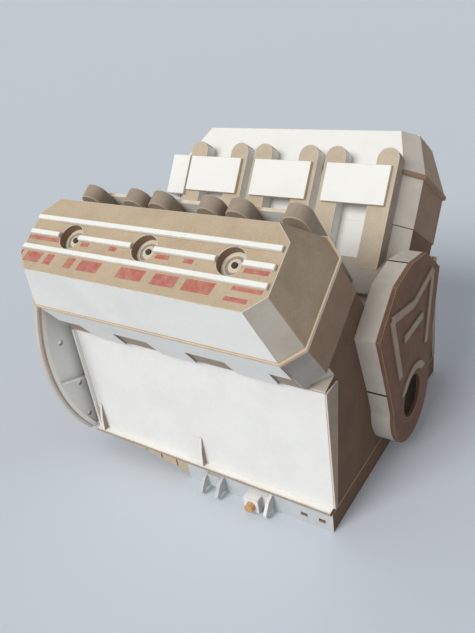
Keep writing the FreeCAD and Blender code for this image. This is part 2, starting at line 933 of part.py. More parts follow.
def timing_face_at(x, inset):
    """The cover's outline: straight upper sides over a rounded foot, as one face."""
    foot_r = timing_foot_r - inset
    wide_y = timing_wide_y - inset * 1.05
    waist_y = timing_waist_y - inset
    shoulder_y = timing_shoulder_y - inset * 0.3
    shoulder_z = timing_shoulder_z - inset
    top_z = timing_top_z - inset
    tangent = math.radians(timing_foot_angle)
    foot_y = foot_r * math.cos(tangent)
    foot_z = timing_foot_z + foot_r * math.sin(tangent)
    points = [
        Vec(x, foot_y, foot_z),
        Vec(x, waist_y, timing_waist_z),
        Vec(x, wide_y, timing_wide_z),
        Vec(x, shoulder_y, shoulder_z),
        Vec(x, 0.0, top_z),
        Vec(x, -shoulder_y, shoulder_z),
        Vec(x, -wide_y, timing_wide_z),
        Vec(x, -waist_y, timing_waist_z),
        Vec(x, -foot_y, foot_z),
    ]
    edges = [Part.makeLine(a, b) for a, b in zip(points[:-1], points[1:])]
    edges.append(Part.Arc(points[-1], Vec(x, 0.0, timing_foot_z - foot_r), points[0]).toShape())
    return Part.Face(Part.Wire(edges))


timing_wall_ring = timing_face_at(case_front_x, 0.0).extrude(Vec(timing_depth - board, 0, 0))
timing_wall_ring = timing_wall_ring.cut(
    timing_face_at(case_front_x - past, timing_wall).extrude(Vec(timing_depth + 2 * past, 0, 0)))
save("timing_cover_wall", timing_wall_ring)

timing_face = timing_face_at(face_x, 0.0).extrude(Vec(board, 0, 0))
timing_face = timing_face.cut(rod_along_x(timing_hole_r, face_x - past, face_x + board + past))
save("timing_cover_face", timing_face)


def strip_between(y_a, z_a, y_b, z_b, x_from):
    length = math.hypot(y_b - y_a, z_b - z_a)
    side_y = -(z_b - z_a) / length * strip_width / 2
    side_z = (y_b - y_a) / length * strip_width / 2
    outline = [
        (y_a + side_y, z_a + side_z),
        (y_b + side_y, z_b + side_z),
        (y_b - side_y, z_b - side_z),
        (y_a - side_y, z_a - side_z),
    ]
    return across(outline, x_from, x_from + strip_height)


def make_timing_strips():
    """Raised strips on the timing cover: a braced frame over the crank hole."""
    x = face_x + board
    top_y = timing_wide_y - brace_top_inset
    top_z = timing_wide_z + brace_top_rise
    foot_y = timing_waist_y - brace_foot_inset
    foot_z = timing_waist_z + brace_foot_rise
    dip_z = timing_top_z - brace_dip
    bar_z = timing_top_z - bar_drop
    frame = strip_between(-top_y, top_z, -foot_y, foot_z, x)
    frame = frame.fuse(strip_between(top_y, top_z, foot_y, foot_z, x))
    frame = frame.fuse(strip_between(-top_y, top_z, 0.0, dip_z, x))
    frame = frame.fuse(strip_between(top_y, top_z, 0.0, dip_z, x))
    hoop_r = timing_hole_r + hoop_gap + strip_width
    hoop = rod_along_x(hoop_r, x, x + strip_height)
    hoop = hoop.cut(rod_along_x(timing_hole_r + hoop_gap, x - past, x + strip_height + past))
    hoop = hoop.common(block(x, x + strip_height, -hoop_r, hoop_r, hoop_low_z, hoop_r))
    return [frame.fuse(hoop), strip_between(-bar_half, bar_z, bar_half, bar_z, x)]


save("timing_cover_strips", *make_timing_strips())

# Crank train

def crankpin_centre(number):
    angle = math.radians(first_crankpin_angle + crankpin_step * number)
    return crank_throw * math.sin(angle), crank_throw * math.cos(angle)


def make_web(x_from, number):
    """A crank web drawn with its pin upwards, then turned to its own angle."""
    arm = rod_along_x(web_arm_r, x_from, x_from + web_thick, 0.0, crank_throw)
    neck = block(x_from, x_from + web_thick, -web_arm_r, web_arm_r, 0.0, crank_throw)
    weight = rod_along_x(counterweight_r, x_from, x_from + web_thick)
    weight = weight.common(block(x_from, x_from + web_thick, -counterweight_r, counterweight_r,
                                 -counterweight_r, web_overlap))
    web = arm.fuse(neck).fuse(weight)
    web.rotate(ORIGIN, ALONG_X, -(first_crankpin_angle + crankpin_step * number))
    return web


def make_crankshaft():
    half_pin = big_end_width + rod_side_gap + (bank_stagger - big_end_width) / 2
    shaft = None
    start = crank_rear_x
    for number, x in enumerate(crankpin_xs):
        journal = rod_along_x(journal_r, start, x - half_pin)
        shaft = journal if shaft is None else shaft.fuse(journal)
        y, z = crankpin_centre(number)
        reach = half_pin + web_thick
        shaft = shaft.fuse(rod_along_x(crankpin_r, x - reach, x + reach, y, z))
        shaft = shaft.fuse(make_web(x - reach, number))
        shaft = shaft.fuse(make_web(x + half_pin, number))
        start = x + half_pin
    return shaft.fuse(rod_along_x(journal_r, start, crank_nose_x))


save("crankshaft", make_crankshaft())

wheel_from = right_belt_x - crank_wheel_lip
wheel_to = left_belt_x + belt_width + crank_wheel_lip
crank_wheel = rod_along_x(crank_wheel_r, wheel_from, wheel_to)
crank_wheel = crank_wheel.fuse(rod_along_x(crank_wheel_r + crank_wheel_flange,
                                           right_belt_x + belt_width + crank_wheel_lip,
                                           left_belt_x - crank_wheel_lip))
crank_wheel = crank_wheel.cut(rod_along_x(journal_r, wheel_from - past, wheel_to + past))
save("crank_wheel", crank_wheel)


def make_flywheel():
    front = -flywheel_gap
    rear = front - flywheel_thick
    wheel = rod_along_x(flywheel_r, rear, front)
    wheel = wheel.cut(rod_along_x(journal_r, rear - past, front + past))
    notch = block(rear - past, front + past, -tooth_gap / 2, tooth_gap / 2,
                  flywheel_r - tooth_depth, flywheel_r + past)
    for number in range(flywheel_teeth):
        cutter = notch.copy()
        cutter.rotate(ORIGIN, ALONG_X, 360.0 * number / flywheel_teeth)
        wheel = wheel.cut(cutter)
    recess = rod_along_x(flywheel_r - flywheel_rim, rear - past, rear + flywheel_recess)
    return wheel.cut(recess.cut(rod_along_x(flywheel_hub_r, rear - past, rear + flywheel_recess)))


save("flywheel", make_flywheel())


def make_rod(x, pin_y, pin_z, lean_sign):
    """A rod drawn upright on the crank axis, leaned to its bank and moved to its crankpin."""
    low = x - big_end_width / 2
    high = x + big_end_width / 2
    top = rod_length
    rod = rod_along_x(big_end_r, low, high)
    rod = rod.fuse(rod_along_x(small_end_r, low, high, 0.0, top))
    half = rod_neck / 2
    root = journal_r
    shank = across(
        [
            (-half - rod_flare, root),
            (half + rod_flare, root),
            (half, top),
            (-half, top),
        ],
        low,
        high,
    )
    rod = rod.fuse(shank)
    groove_half = rod_groove_width / 2
    groove_low = big_end_r + small_end_r
    groove_high = top - big_end_r
    groove = across(
        [
            (-groove_half, groove_low),
            (groove_half, groove_low),
            (groove_half, groove_high),
            (-groove_half, groove_high),
        ],
        high - rod_groove_depth,
        high + past,
    )
    rod = rod.cut(groove)
    rod = rod.cut(rod_along_x(crankpin_r + running, low - past, high + past))
    rod = rod.fuse(rod_along_x(wrist_pin_r, x - wrist_pin_half, x + wrist_pin_half, 0.0, top))
    rod.rotate(ORIGIN, ALONG_X, -lean_sign * bank_tilt)
    rod.translate(Vec(0, pin_y, pin_z))
    return rod


def piston_rest_level(pin_y, pin_z, lean_sign):
    return pin_y * lean_sign * sin_tilt + pin_z * cos_tilt + rod_length


def make_piston(x, level):
    """A cup whose open end lets the rod's pin move inside it."""
    radius = bore_r - piston_clearance
    low = level - piston_skirt
    roof = level + piston_cavity
    cup = peg(radius, low, roof + piston_crown, x, 0.0)
    cup = cup.cut(peg(radius - piston_wall, low - past, roof, x, 0.0))
    ring_high = roof - ring_land
    ring = peg(radius + past, ring_high - ring_width, ring_high, x, 0.0)
    ring = ring.cut(peg(radius - ring_depth, ring_high - ring_width, ring_high, x, 0.0))
    return cup.cut(ring)


cylinder_names = ("rear", "middle", "front")
for number, place in enumerate(cylinder_names):
    pin_y, pin_z = crankpin_centre(number)
    for side_name, lean, sign, bores in (("right", right, -1, right_bores), ("left", left, 1, left_bores)):
        x = bores[number]
        save(side_name + "_" + place + "_rod", make_rod(x, pin_y, pin_z, sign))
        level = piston_rest_level(pin_y, pin_z, sign)
        save(side_name + "_" + place + "_piston", lean(make_piston(x, level)))

# Camshafts

def make_lobe(x, line, angle):
    base = rod_along_x(cam_base_r, x, x + cam_lobe_width)
    nose = rod_along_x(cam_nose_r, x, x + cam_lobe_width, 0.0, cam_nose_out)
    reach = math.acos((cam_base_r - cam_nose_r) / cam_nose_out)
    side_y = math.sin(reach)
    side_z = math.cos(reach)
    flank = across(
        [
            (cam_base_r * side_y, cam_base_r * side_z),
            (cam_nose_r * side_y, cam_nose_out + cam_nose_r * side_z),
            (-cam_nose_r * side_y, cam_nose_out + cam_nose_r * side_z),
            (-cam_base_r * side_y, cam_base_r * side_z),
        ],
        x,
        x + cam_lobe_width,
    )
    lobe = base.fuse(nose).fuse(flank)
    lobe.rotate(ORIGIN, ALONG_X, angle)
    lobe.translate(Vec(0, line, cam_level))
    return lobe


def make_camshaft(bores, line, belt_x, first_angle):
    belt_end = belt_x + belt_width
    shaft = rod_along_x(cam_shaft_r, head_rear_x + board + cam_tail, belt_end + clear, line, cam_level)
    for number, x in enumerate(bores):
        for offset in (-cam_lobe_spread, cam_lobe_spread):
            start = x + offset - cam_lobe_width / 2
            shaft = shaft.fuse(make_lobe(start, line, first_angle + crankpin_step * number))
    wheel = rod_along_x(cam_wheel_r, belt_x - cam_wheel_lip, belt_end + cam_wheel_lip, line, cam_level)
    for number in range(cam_wheel_holes):
        turn = 2 * math.pi * number / cam_wheel_holes
        hole_y = line + cam_wheel_hole_ring * math.sin(turn)
        hole_z = cam_level + cam_wheel_hole_ring * math.cos(turn)
        wheel = wheel.cut(rod_along_x(cam_wheel_hole_r, belt_x - past, belt_end + past, hole_y, hole_z))
    return shaft.fuse(wheel)


for side_name, lean, bores, belt_x in (
    ("right", right, right_bores, right_belt_x),
    ("left", left, left_bores, left_belt_x),
):
    save(side_name + "_intake_camshaft", lean(make_camshaft(bores, cam_lines["intake"], belt_x,
                                                          intake_lobe_angle)))
    save(side_name + "_exhaust_camshaft", lean(make_camshaft(bores, cam_lines["exhaust"], belt_x,
                                                           exhaust_lobe_angle)))

# Drive belts

def belt_outline(circles, x):
    """The loop round three wheels, given anticlockwise as (y, z, radius)."""
    edges = []
    ends = []
    count = len(circles)
    for number in range(count):
        y_a, z_a, r_a = circles[number]
        y_b, z_b, r_b = circles[(number + 1) % count]
        gap = math.hypot(y_b - y_a, z_b - z_a)
        heading = math.atan2(z_b - z_a, y_b - y_a)
        turn = math.asin((r_a - r_b) / gap)
        normal = heading - math.pi / 2 + turn
        out_y = math.cos(normal)
        out_z = math.sin(normal)
        ends.append((
            Vec(x, y_a + r_a * out_y, z_a + r_a * out_z),
            Vec(x, y_b + r_b * out_y, z_b + r_b * out_z),
            normal,
        ))
    for number in range(count):
        start, finish, normal = ends[number]
        edges.append(Part.makeLine(start, finish))
        next_start, _, next_normal = ends[(number + 1) % count]
        y_b, z_b, r_b = circles[(number + 1) % count]
        middle = normal + ((next_normal - normal) % (2 * math.pi)) / 2
        crest = Vec(x, y_b + r_b * math.cos(middle), z_b + r_b * math.sin(middle))
        edges.append(Part.Arc(finish, crest, next_start).toShape())
    return Part.Face(Part.Wire(edges))


def make_belt(belt_x):
    wheels = [
        (0.0, 0.0, crank_wheel_r),
        (cam_lines["exhaust"], cam_level, cam_wheel_r),
        (cam_lines["intake"], cam_level, cam_wheel_r),
    ]
    snug = [(y, z, r + running) for y, z, r in wheels]
    loose = [(y, z, r + running + belt_thick) for y, z, r in wheels]
    loop = belt_outline(loose, belt_x).extrude(Vec(belt_width, 0, 0))
    return loop.cut(belt_outline(snug, belt_x - past).extrude(Vec(belt_width + 2 * past, 0, 0)))


save("drive_belts", right(make_belt(right_belt_x)), left(make_belt(left_belt_x)))
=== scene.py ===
import bpy
import json
import math
from mathutils import Matrix, Vector


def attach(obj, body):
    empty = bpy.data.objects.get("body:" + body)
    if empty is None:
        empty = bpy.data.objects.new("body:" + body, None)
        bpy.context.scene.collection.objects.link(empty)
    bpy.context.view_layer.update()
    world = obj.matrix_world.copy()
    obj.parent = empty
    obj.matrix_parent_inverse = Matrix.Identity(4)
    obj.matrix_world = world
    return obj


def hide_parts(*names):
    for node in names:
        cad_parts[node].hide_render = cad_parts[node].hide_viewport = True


# Looks for the card and greyboard v-six: soft cut edges, lined and unlined board, worn red print
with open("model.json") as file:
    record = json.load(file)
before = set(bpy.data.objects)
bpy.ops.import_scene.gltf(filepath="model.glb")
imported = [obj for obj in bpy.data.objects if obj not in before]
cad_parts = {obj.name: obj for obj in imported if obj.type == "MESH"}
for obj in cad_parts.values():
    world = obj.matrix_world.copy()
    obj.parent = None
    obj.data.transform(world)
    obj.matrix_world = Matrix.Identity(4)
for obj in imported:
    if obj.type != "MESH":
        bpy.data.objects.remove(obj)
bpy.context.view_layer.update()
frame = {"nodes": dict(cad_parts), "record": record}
print("frame loaded:", len(frame["nodes"]), "nodes")

mm = 0.001
nodes = frame["nodes"]
nodeBody = {}
for bodyName, members in frame["record"]["behaviour"]["bodies"].items():
    for member in members:
        nodeBody[member] = bodyName

# The engine's own layout, as the part has it, in metres
engine = {
    "bankTilt": math.radians(35),
    "bankOffset": 3.65 * mm,
    "coverTop": 109.8 * mm,
    "wellDepth": 4.3 * mm,
    "plugLine": 3.35 * mm,
    "headFloor": 69.8 * mm,
    "rightBores": (30.8 * mm, 67.2 * mm, 103.6 * mm),
    "leftBores": (34.4 * mm, 70.8 * mm, 107.2 * mm),
    "bellCentre": 26.0 * mm,
    "bellInner": 40.0 * mm,
    "sumpSide": 59.0 * mm,
    "sumpRear": 60.0 * mm,
    "sumpFront": 128.0 * mm,
    "sumpCorner": 127.0 * mm,
    "sumpSlots": -27.5 * mm,
    "sumpTop": -18.5 * mm,
    "lastPillar": 120.0 * mm,
}
tilt = engine["bankTilt"]
bankSigns = {"right": -1, "left": 1}
bankUp = {side: Vector((0, sign * math.sin(tilt), math.cos(tilt))) for side, sign in bankSigns.items()}
bankOut = {side: Vector((0, sign * math.cos(tilt), -math.sin(tilt))) for side, sign in bankSigns.items()}


def deselectAll():
    if bpy.context.object and bpy.context.object.mode != "OBJECT":
        bpy.ops.object.mode_set(mode="OBJECT")
    bpy.ops.object.select_all(action="DESELECT")


def makeActive(piece):
    deselectAll()
    piece.select_set(True)
    bpy.context.view_layer.objects.active = piece


# Materials

def hexColour(code):
    channels = [int(code[i:i + 2], 16) / 255 for i in (1, 3, 5)]
    linear = [c / 12.92 if c <= 0.04045 else ((c + 0.055) / 1.055) ** 2.4 for c in channels]
    return (*linear, 1.0)


def addNode(tree, kind, settings=None, inputs=None):
    node = tree.nodes.new(kind)
    for name, value in (settings or {}).items():
        setattr(node, name, value)
    for name, value in (inputs or {}).items():
        if isinstance(value, bpy.types.NodeSocket):
            tree.links.new(value, node.inputs[name])
        else:
            node.inputs[name].default_value = value
    return node


# Sockets 6, 7 and 2 of a Mix node are its two colours and its result
def blendColours(tree, amount, first, second):
    mix = addNode(tree, "ShaderNodeMix", {"data_type": "RGBA"}, {0: amount, 6: first, 7: second})
    return mix.outputs[2]


# Real pulp fibres and flecks are finer than these: they are drawn as coarse as it takes to see them
boards = {
    # white-lined card: smooth paper face, faint grey handling marks and soft dents
    "linedCard": {
        "base": "#ECEBE6", "stain": "#D6D4D0", "stainMm": 18, "stainAmount": 0.45,
        "fleck": "#C9C3B8", "fleckMm": 1.4, "fleckAmount": 0.08, "fibre": "#E1DFD9", "fibreMm": 0.5,
        "fibreAmount": 0.5, "stretch": (1, 1, 1), "roughness": 0.62, "dent": 0.22, "dentMm": 16,
        "grain": 0.18,
    },
    # whitest lined card for the plates, ribs and posts, painted brighter than the rest as light falling on
    # them
    "whiteCardPaintedLight": {
        "base": "#F5F4EE", "stain": "#E4E1DA", "stainMm": 16, "stainAmount": 0.4,
        "fleck": "#CFC9BE", "fleckMm": 1.4, "fleckAmount": 0.06, "fibre": "#ECEAE3", "fibreMm": 0.5,
        "fibreAmount": 0.5, "stretch": (1, 1, 1), "roughness": 0.6, "dent": 0.22, "dentMm": 14,
        "grain": 0.18,
    },
    # lined card of the sump and mounts, painted greyer and cooler than the rest as shade tinted by cool
    # reflected light
    "coolCardPaintedShade": {
        "base": "#C6CACB", "stain": "#A9ADAE", "stainMm": 10, "stainAmount": 0.5,
        "fleck": "#8F908E", "fleckMm": 1.2, "fleckAmount": 0.15, "fibre": "#BABEBE", "fibreMm": 0.5,
        "fibreAmount": 0.5, "stretch": (1, 1, 1), "roughness": 0.66, "dent": 0.25, "dentMm": 10,
        "grain": 0.24,
    },
    # lined card darkened and warmed as painted shade on faces turned from the light, with a duller, more
    # blotched face
    "warmCardPaintedShade": {
        "base": "#CCC2B3", "stain": "#B0A493", "stainMm": 12, "stainAmount": 0.5,
        "fleck": "#A8A198", "fleckMm": 1.3, "fleckAmount": 0.15, "fibre": "#CECBC5", "fibreMm": 0.5,
        "fibreAmount": 0.5, "stretch": (1, 1, 1), "roughness": 0.68, "dent": 0.25, "dentMm": 12,
        "grain": 0.24,
    },
    # lined card painted darker and warmer as shade: a warm, slightly dulled face
    "dullCardPaintedShade": {
        "base": "#BAB1A3", "stain": "#A09686", "stainMm": 11, "stainAmount": 0.5,
        "fleck": "#989188", "fleckMm": 1.3, "fleckAmount": 0.15, "fibre": "#BFB8AD", "fibreMm": 0.5,
        "fibreAmount": 0.5, "stretch": (1, 1, 1), "roughness": 0.7, "dent": 0.25, "dentMm": 12,
        "grain": 0.26,
    },
    # lined card painted grey as deep shade, as on the near head's outer corner
    "deepCardPaintedShade": {
        "base": "#A69D95", "stain": "#8D857E", "stainMm": 9, "stainAmount": 0.5,
        "fleck": "#7C756F", "fleckMm": 1.2, "fleckAmount": 0.2, "fibre": "#AFA79F", "fibreMm": 0.5,
        "fibreAmount": 0.5, "stretch": (1, 1, 1), "roughness": 0.72, "dent": 0.25, "dentMm": 10,
        "grain": 0.28,
    },
    # unlined tan greyboard: matt, with visible pulp flecks and long fibres
    "tanGreyboard": {
        "base": "#BFAB8F", "stain": "#A6947B", "stainMm": 13, "stainAmount": 0.5,
        "fleck": "#87725B", "fleckMm": 0.8, "fleckAmount": 0.45, "fibre": "#CFBDA2", "fibreMm": 0.6,
        "fibreAmount": 0.6, "stretch": (1, 2.5, 1), "roughness": 0.86, "dent": 0.25, "dentMm": 9,
        "grain": 0.45,
    },
    # paler, greyer greyboard of the far bank's intake pillars
    "paleGreyboard": {
        "base": "#C4B49D", "stain": "#AC9B84", "stainMm": 9, "stainAmount": 0.5,
        "fleck": "#8C7B66", "fleckMm": 0.8, "fleckAmount": 0.4, "fibre": "#D3C5B0", "fibreMm": 0.6,
        "fibreAmount": 0.6, "stretch": (1, 1, 2.5), "roughness": 0.86, "dent": 0.25, "dentMm": 8,
        "grain": 0.42,
    },
    # mauve-grey board on the sloping ends of the covers: tan board darkened as painted shade, also used as
    # painted shade on the near cover's front valley corner
    "mauveBoard": {
        "base": "#AC967E", "stain": "#94806B", "stainMm": 11, "stainAmount": 0.55,
        "fleck": "#77634F", "fleckMm": 0.8, "fleckAmount": 0.4, "fibre": "#BCA892", "fibreMm": 0.6,
        "fibreAmount": 0.55, "stretch": (1, 2, 1), "roughness": 0.87, "dent": 0.25, "dentMm": 9,
        "grain": 0.45,
    },
    # darker greyboard on the unlined inner and end walls: bare board, darkened as painted shade in recesses
    # and under things, and a painted shadow line on the far bank's plate and head edges and outside the
    # bell's rim
    "brownBoardAndShade": {
        "base": "#9A7E69", "stain": "#836955", "stainMm": 10, "stainAmount": 0.5,
        "fleck": "#5A483C", "fleckMm": 0.9, "fleckAmount": 0.45, "fibre": "#9E8870", "fibreMm": 0.6,
        "fibreAmount": 0.55, "stretch": (1, 2, 1), "roughness": 0.9, "dent": 0.25, "dentMm": 9,
        "grain": 0.5,
    },
    # dark board on the ends of the block and the bed plate, and on the sump's front: bare greyboard,
    # darkened further as painted shade
    "darkBoardAndShade": {
        "base": "#705846", "stain": "#584438", "stainMm": 12, "stainAmount": 0.5,
        "fleck": "#43352D", "fleckMm": 0.9, "fleckAmount": 0.45, "fibre": "#7E6755", "fibreMm": 0.6,
        "fibreAmount": 0.55, "stretch": (1, 1, 2), "roughness": 0.9, "dent": 0.25, "dentMm": 9,
        "grain": 0.5,
    },
    # reddish kraft board on the timing cover's face and the drive belts
    "kraftBoard": {
        "base": "#755644", "stain": "#5C4031", "stainMm": 8, "stainAmount": 0.55,
        "fleck": "#4E382D", "fleckMm": 0.9, "fleckAmount": 0.45, "fibre": "#957665", "fibreMm": 0.6,
        "fibreAmount": 0.5, "stretch": (1, 1, 2.5), "roughness": 0.84, "dent": 0.25, "dentMm": 8,
        "grain": 0.45,
    },
    # grey-tan chipboard: strips on the kraft face; elsewhere bare board darkened as painted shade, on the
    # walls behind port pads, the near bank's pillars, the gussets' and bed plate's sides, the bell's holes
    # and the plugs' rings
    "greyTanBoardAndShade": {
        "base": "#A29281", "stain": "#88786A", "stainMm": 6, "stainAmount": 0.5,
        "fleck": "#776A5E", "fleckMm": 0.8, "fleckAmount": 0.4, "fibre": "#B3A493", "fibreMm": 0.5,
        "fibreAmount": 0.5, "stretch": (1, 1, 2), "roughness": 0.82, "dent": 0.2, "dentMm": 6,
        "grain": 0.4,
    },
    # cream card of the plug discs, and of the sides of corner strips and intake plates; on the plates'
    # sides it is painted light, lighter than their cut edge
    "creamCard": {
        "base": "#DDD2BC", "stain": "#BDAB90", "stainMm": 6, "stainAmount": 0.5,
        "fleck": "#978268", "fleckMm": 0.8, "fleckAmount": 0.3, "fibre": "#E8DFCC", "fibreMm": 0.5,
        "fibreAmount": 0.5, "stretch": (1, 1, 1), "roughness": 0.7, "dent": 0.25, "dentMm": 6,
        "grain": 0.32,
    },
    # knife-cut board edge: bare layered pulp, lighter than the face
    "cutEdge": {
        "base": "#DCC5AC", "stain": "#C2A88E", "stainMm": 7, "stainAmount": 0.55,
        "fleck": "#957C5E", "fleckMm": 0.7, "fleckAmount": 0.5, "fibre": "#E7D5C1", "fibreMm": 0.5,
        "fibreAmount": 0.7, "stretch": (0.4, 2.5, 2.5), "roughness": 0.92, "dent": 0.2, "dentMm": 5,
        "grain": 0.6,
    },
    # rubbed corner of lined card, where the white liner has worn to grey pulp
    "rubbedEdge": {
        "base": "#DED6C9", "stain": "#C0B19B", "stainMm": 4, "stainAmount": 0.7,
        "fleck": "#9F8D77", "fleckMm": 0.8, "fleckAmount": 0.4, "fibre": "#E8E3D9", "fibreMm": 0.5,
        "fibreAmount": 0.5, "stretch": (1, 1, 1), "roughness": 0.85, "dent": 0.2, "dentMm": 4,
        "grain": 0.45,
    },
    # rolled kraft paper tube of the liners and pistons
    "kraftTube": {
        "base": "#B59A74", "stain": "#9A8160", "stainMm": 6, "stainAmount": 0.5,
        "fleck": "#7D674C", "fleckMm": 0.8, "fleckAmount": 0.4, "fibre": "#C7AE89", "fibreMm": 0.5,
        "fibreAmount": 0.6, "stretch": (3, 1, 1), "roughness": 0.72, "dent": 0.2, "dentMm": 5,
        "grain": 0.4,
    },
    # dark board as painted shade: in the open scores, and on the plug pins as the plug's dark centre hole
    "grooveShadeBoard": {
        "base": "#4A4039", "stain": "#332C28", "stainMm": 3, "stainAmount": 0.6,
        "fleck": "#6E6157", "fleckMm": 0.6, "fleckAmount": 0.4, "fibre": "#5B5048", "fibreMm": 0.5,
        "fibreAmount": 0.5, "stretch": (1, 1, 1), "roughness": 0.8, "dent": 0.2, "dentMm": 3,
        "grain": 0.5,
    },
}

# Each noise's detail and roughness, and whether it is drawn out along the board's grain
boardNoises = {
    "stain": (4, 0.6, False), "fleck": (2, 0.5, True), "fibre": (5, 0.65, True), "dent": (1.5, 0.4, False),
}
# Where fibres, stains and flecks begin and are full in their noise, how deep the surface is, and its shine
boardPattern = {
    "fibre": (0.35, 0.7), "stain": (0.42, 0.8), "fleck": (0.6, 0.72), "sheenSpread": 0.1,
    "dentDepth": 1.2 * mm, "fibreDepth": 0.12 * mm, "ior": 1.45, "specular": 0.35,
}


def makeBoard(name, look):
    pattern = boardPattern
    material = bpy.data.materials.new(name)
    material.use_nodes = True
    tree = material.node_tree
    tree.nodes.clear()
    place = addNode(tree, "ShaderNodeTexCoord").outputs["Object"]
    turned = addNode(tree, "ShaderNodeMapping", inputs={"Vector": place, "Scale": look["stretch"]})
    noises = {}
    for mark, (detail, roughness, drawnOut) in boardNoises.items():
        noises[mark] = addNode(tree, "ShaderNodeTexNoise", inputs={
            "Vector": turned.outputs[0] if drawnOut else place, "Scale": 1 / (look[mark + "Mm"] * mm),
            "Detail": detail, "Roughness": roughness}).outputs[0]
    colour = hexColour(look["base"])
    for mark in ("fibre", "stain", "fleck"):
        begins, full = pattern[mark]
        share = addNode(tree, "ShaderNodeMapRange", inputs={
            "Value": noises[mark], "From Min": begins, "From Max": full, "To Max": look[mark + "Amount"]})
        colour = blendColours(tree, share.outputs[0], colour, hexColour(look[mark]))
    sheen = addNode(tree, "ShaderNodeMapRange", inputs={
        "Value": noises["fibre"], "To Min": look["roughness"] - pattern["sheenSpread"],
        "To Max": look["roughness"] + pattern["sheenSpread"]})
    soft = addNode(tree, "ShaderNodeBump", inputs={
        "Height": noises["dent"], "Strength": look["dent"], "Distance": pattern["dentDepth"]})
    rough = addNode(tree, "ShaderNodeBump", inputs={
        "Height": noises["fibre"], "Strength": look["grain"], "Distance": pattern["fibreDepth"],
        "Normal": soft.outputs[0]})
    shader = addNode(tree, "ShaderNodeBsdfPrincipled", inputs={
        "Base Color": colour, "Roughness": sheen.outputs[0], "Normal": rough.outputs[0],
        "IOR": pattern["ior"], "Specular IOR Level": pattern["specular"]})
    addNode(tree, "ShaderNodeOutputMaterial", inputs={"Surface": shader.outputs[0]})
    return material, tree, shader, colour


finishes = {}
for boardName, boardLook in boards.items():
    finishes[boardName] = makeBoard(boardName, boardLook)[0]

# Printed packaging board: worn red ink in plain bars, row by row along the cover's top. A row's reach
# outwards is in metres, and its bars begin and end at these mm along the crank.
printLook = {
    "ink": "#B8655A", "slant": 0.25, "length": 130 * mm, "wearMm": 2.4, "wearFrom": 0.3, "wearTo": 0.62,
    "leastInk": 0.5,
    "rows": [
        {"out": (1.3 * mm, 3.0 * mm), "bars": [
            (8, 26), (38, 42), (52, 55.5), (74, 80), (86, 90), (110, 119)]},
        {"out": (8.2 * mm, 12.6 * mm), "bars": [
            (9, 12), (14.5, 23), (25.5, 29.5), (37, 41), (44, 54), (63, 75), (79, 89), (92, 104)]},
        {"out": (7.9 * mm, 9.4 * mm), "bars": [(110, 121)]},
        {"out": (11.7 * mm, 13.3 * mm), "bars": [(109.5, 118)]},
    ],
}


def makePrintedBoard(side):
    look = printLook
    material, tree, shader, colour = makeBoard("printedBoard_" + side, boards["tanGreyboard"])

    def maths(operation, first, second):
        return addNode(tree, "ShaderNodeMath", {"operation": operation}, {0: first, 1: second}).outputs[0]

    place = addNode(tree, "ShaderNodeTexCoord").outputs["Object"]
    bank = addNode(tree, "ShaderNodeMapping", inputs={
        "Vector": place, "Rotation": (tilt, 0, 0), "Scale": (1, bankSigns[side], 1)})
    axes = addNode(tree, "ShaderNodeSeparateXYZ", inputs={0: bank.outputs[0]})
    out = maths("SUBTRACT", axes.outputs[1], engine["bankOffset"])
    slanted = maths("ADD", axes.outputs[0], maths("MULTIPLY", out, look["slant"]))
    share = maths("DIVIDE", slanted, look["length"])
    total = None
    for row in look["rows"]:
        low, high = row["out"]
        reach = maths("ABSOLUTE", maths("SUBTRACT", out, (low + high) / 2), 0)
        inRow = maths("LESS_THAN", reach, (high - low) / 2)
        ramp = addNode(tree, "ShaderNodeValToRGB", inputs={0: share})
        ramp.color_ramp.interpolation = "CONSTANT"
        ramp.color_ramp.elements[0].color = (0, 0, 0, 1)
        ramp.color_ramp.elements[1].position = 1
        ramp.color_ramp.elements[1].color = (0, 0, 0, 1)
        for start, end in row["bars"]:
            for edge, level in ((start, 1), (end, 0)):
                stop = ramp.color_ramp.elements.new(edge * mm / look["length"])
                stop.color = (level, level, level, 1)
        marks = maths("MULTIPLY", ramp.outputs[0], inRow)
        total = marks if total is None else maths("MAXIMUM", total, marks)
    worn = addNode(tree, "ShaderNodeTexNoise", inputs={
        "Vector": place, "Scale": 1 / (look["wearMm"] * mm), "Detail": 5, "Roughness": 0.7})
    kept = addNode(tree, "ShaderNodeMapRange", inputs={
        "Value": worn.outputs[0], "From Min": look["wearFrom"], "From Max": look["wearTo"],
        "To Min": look["leastInk"]})
    ink = maths("MULTIPLY", total, kept.outputs[0])
    tree.links.new(blendColours(tree, ink, colour, hexColour(look["ink"])), shader.inputs["Base Color"])
    return material


for side in bankSigns:
    finishes["printedBoard_" + side] = makePrintedBoard(side)

# Birch dowel: pale, turned smooth, with a straight brown grain along the pin
dowelLook = {
    "light": "#D8AE78", "dark": "#B07F4C", "grainMm": 0.9, "roughness": 0.55, "grainFrom": 0.35,
    "grainTo": 0.68, "bump": 0.3, "bumpDepth": 0.1 * mm, "ior": 1.5, "drawnOut": 0.12,
}


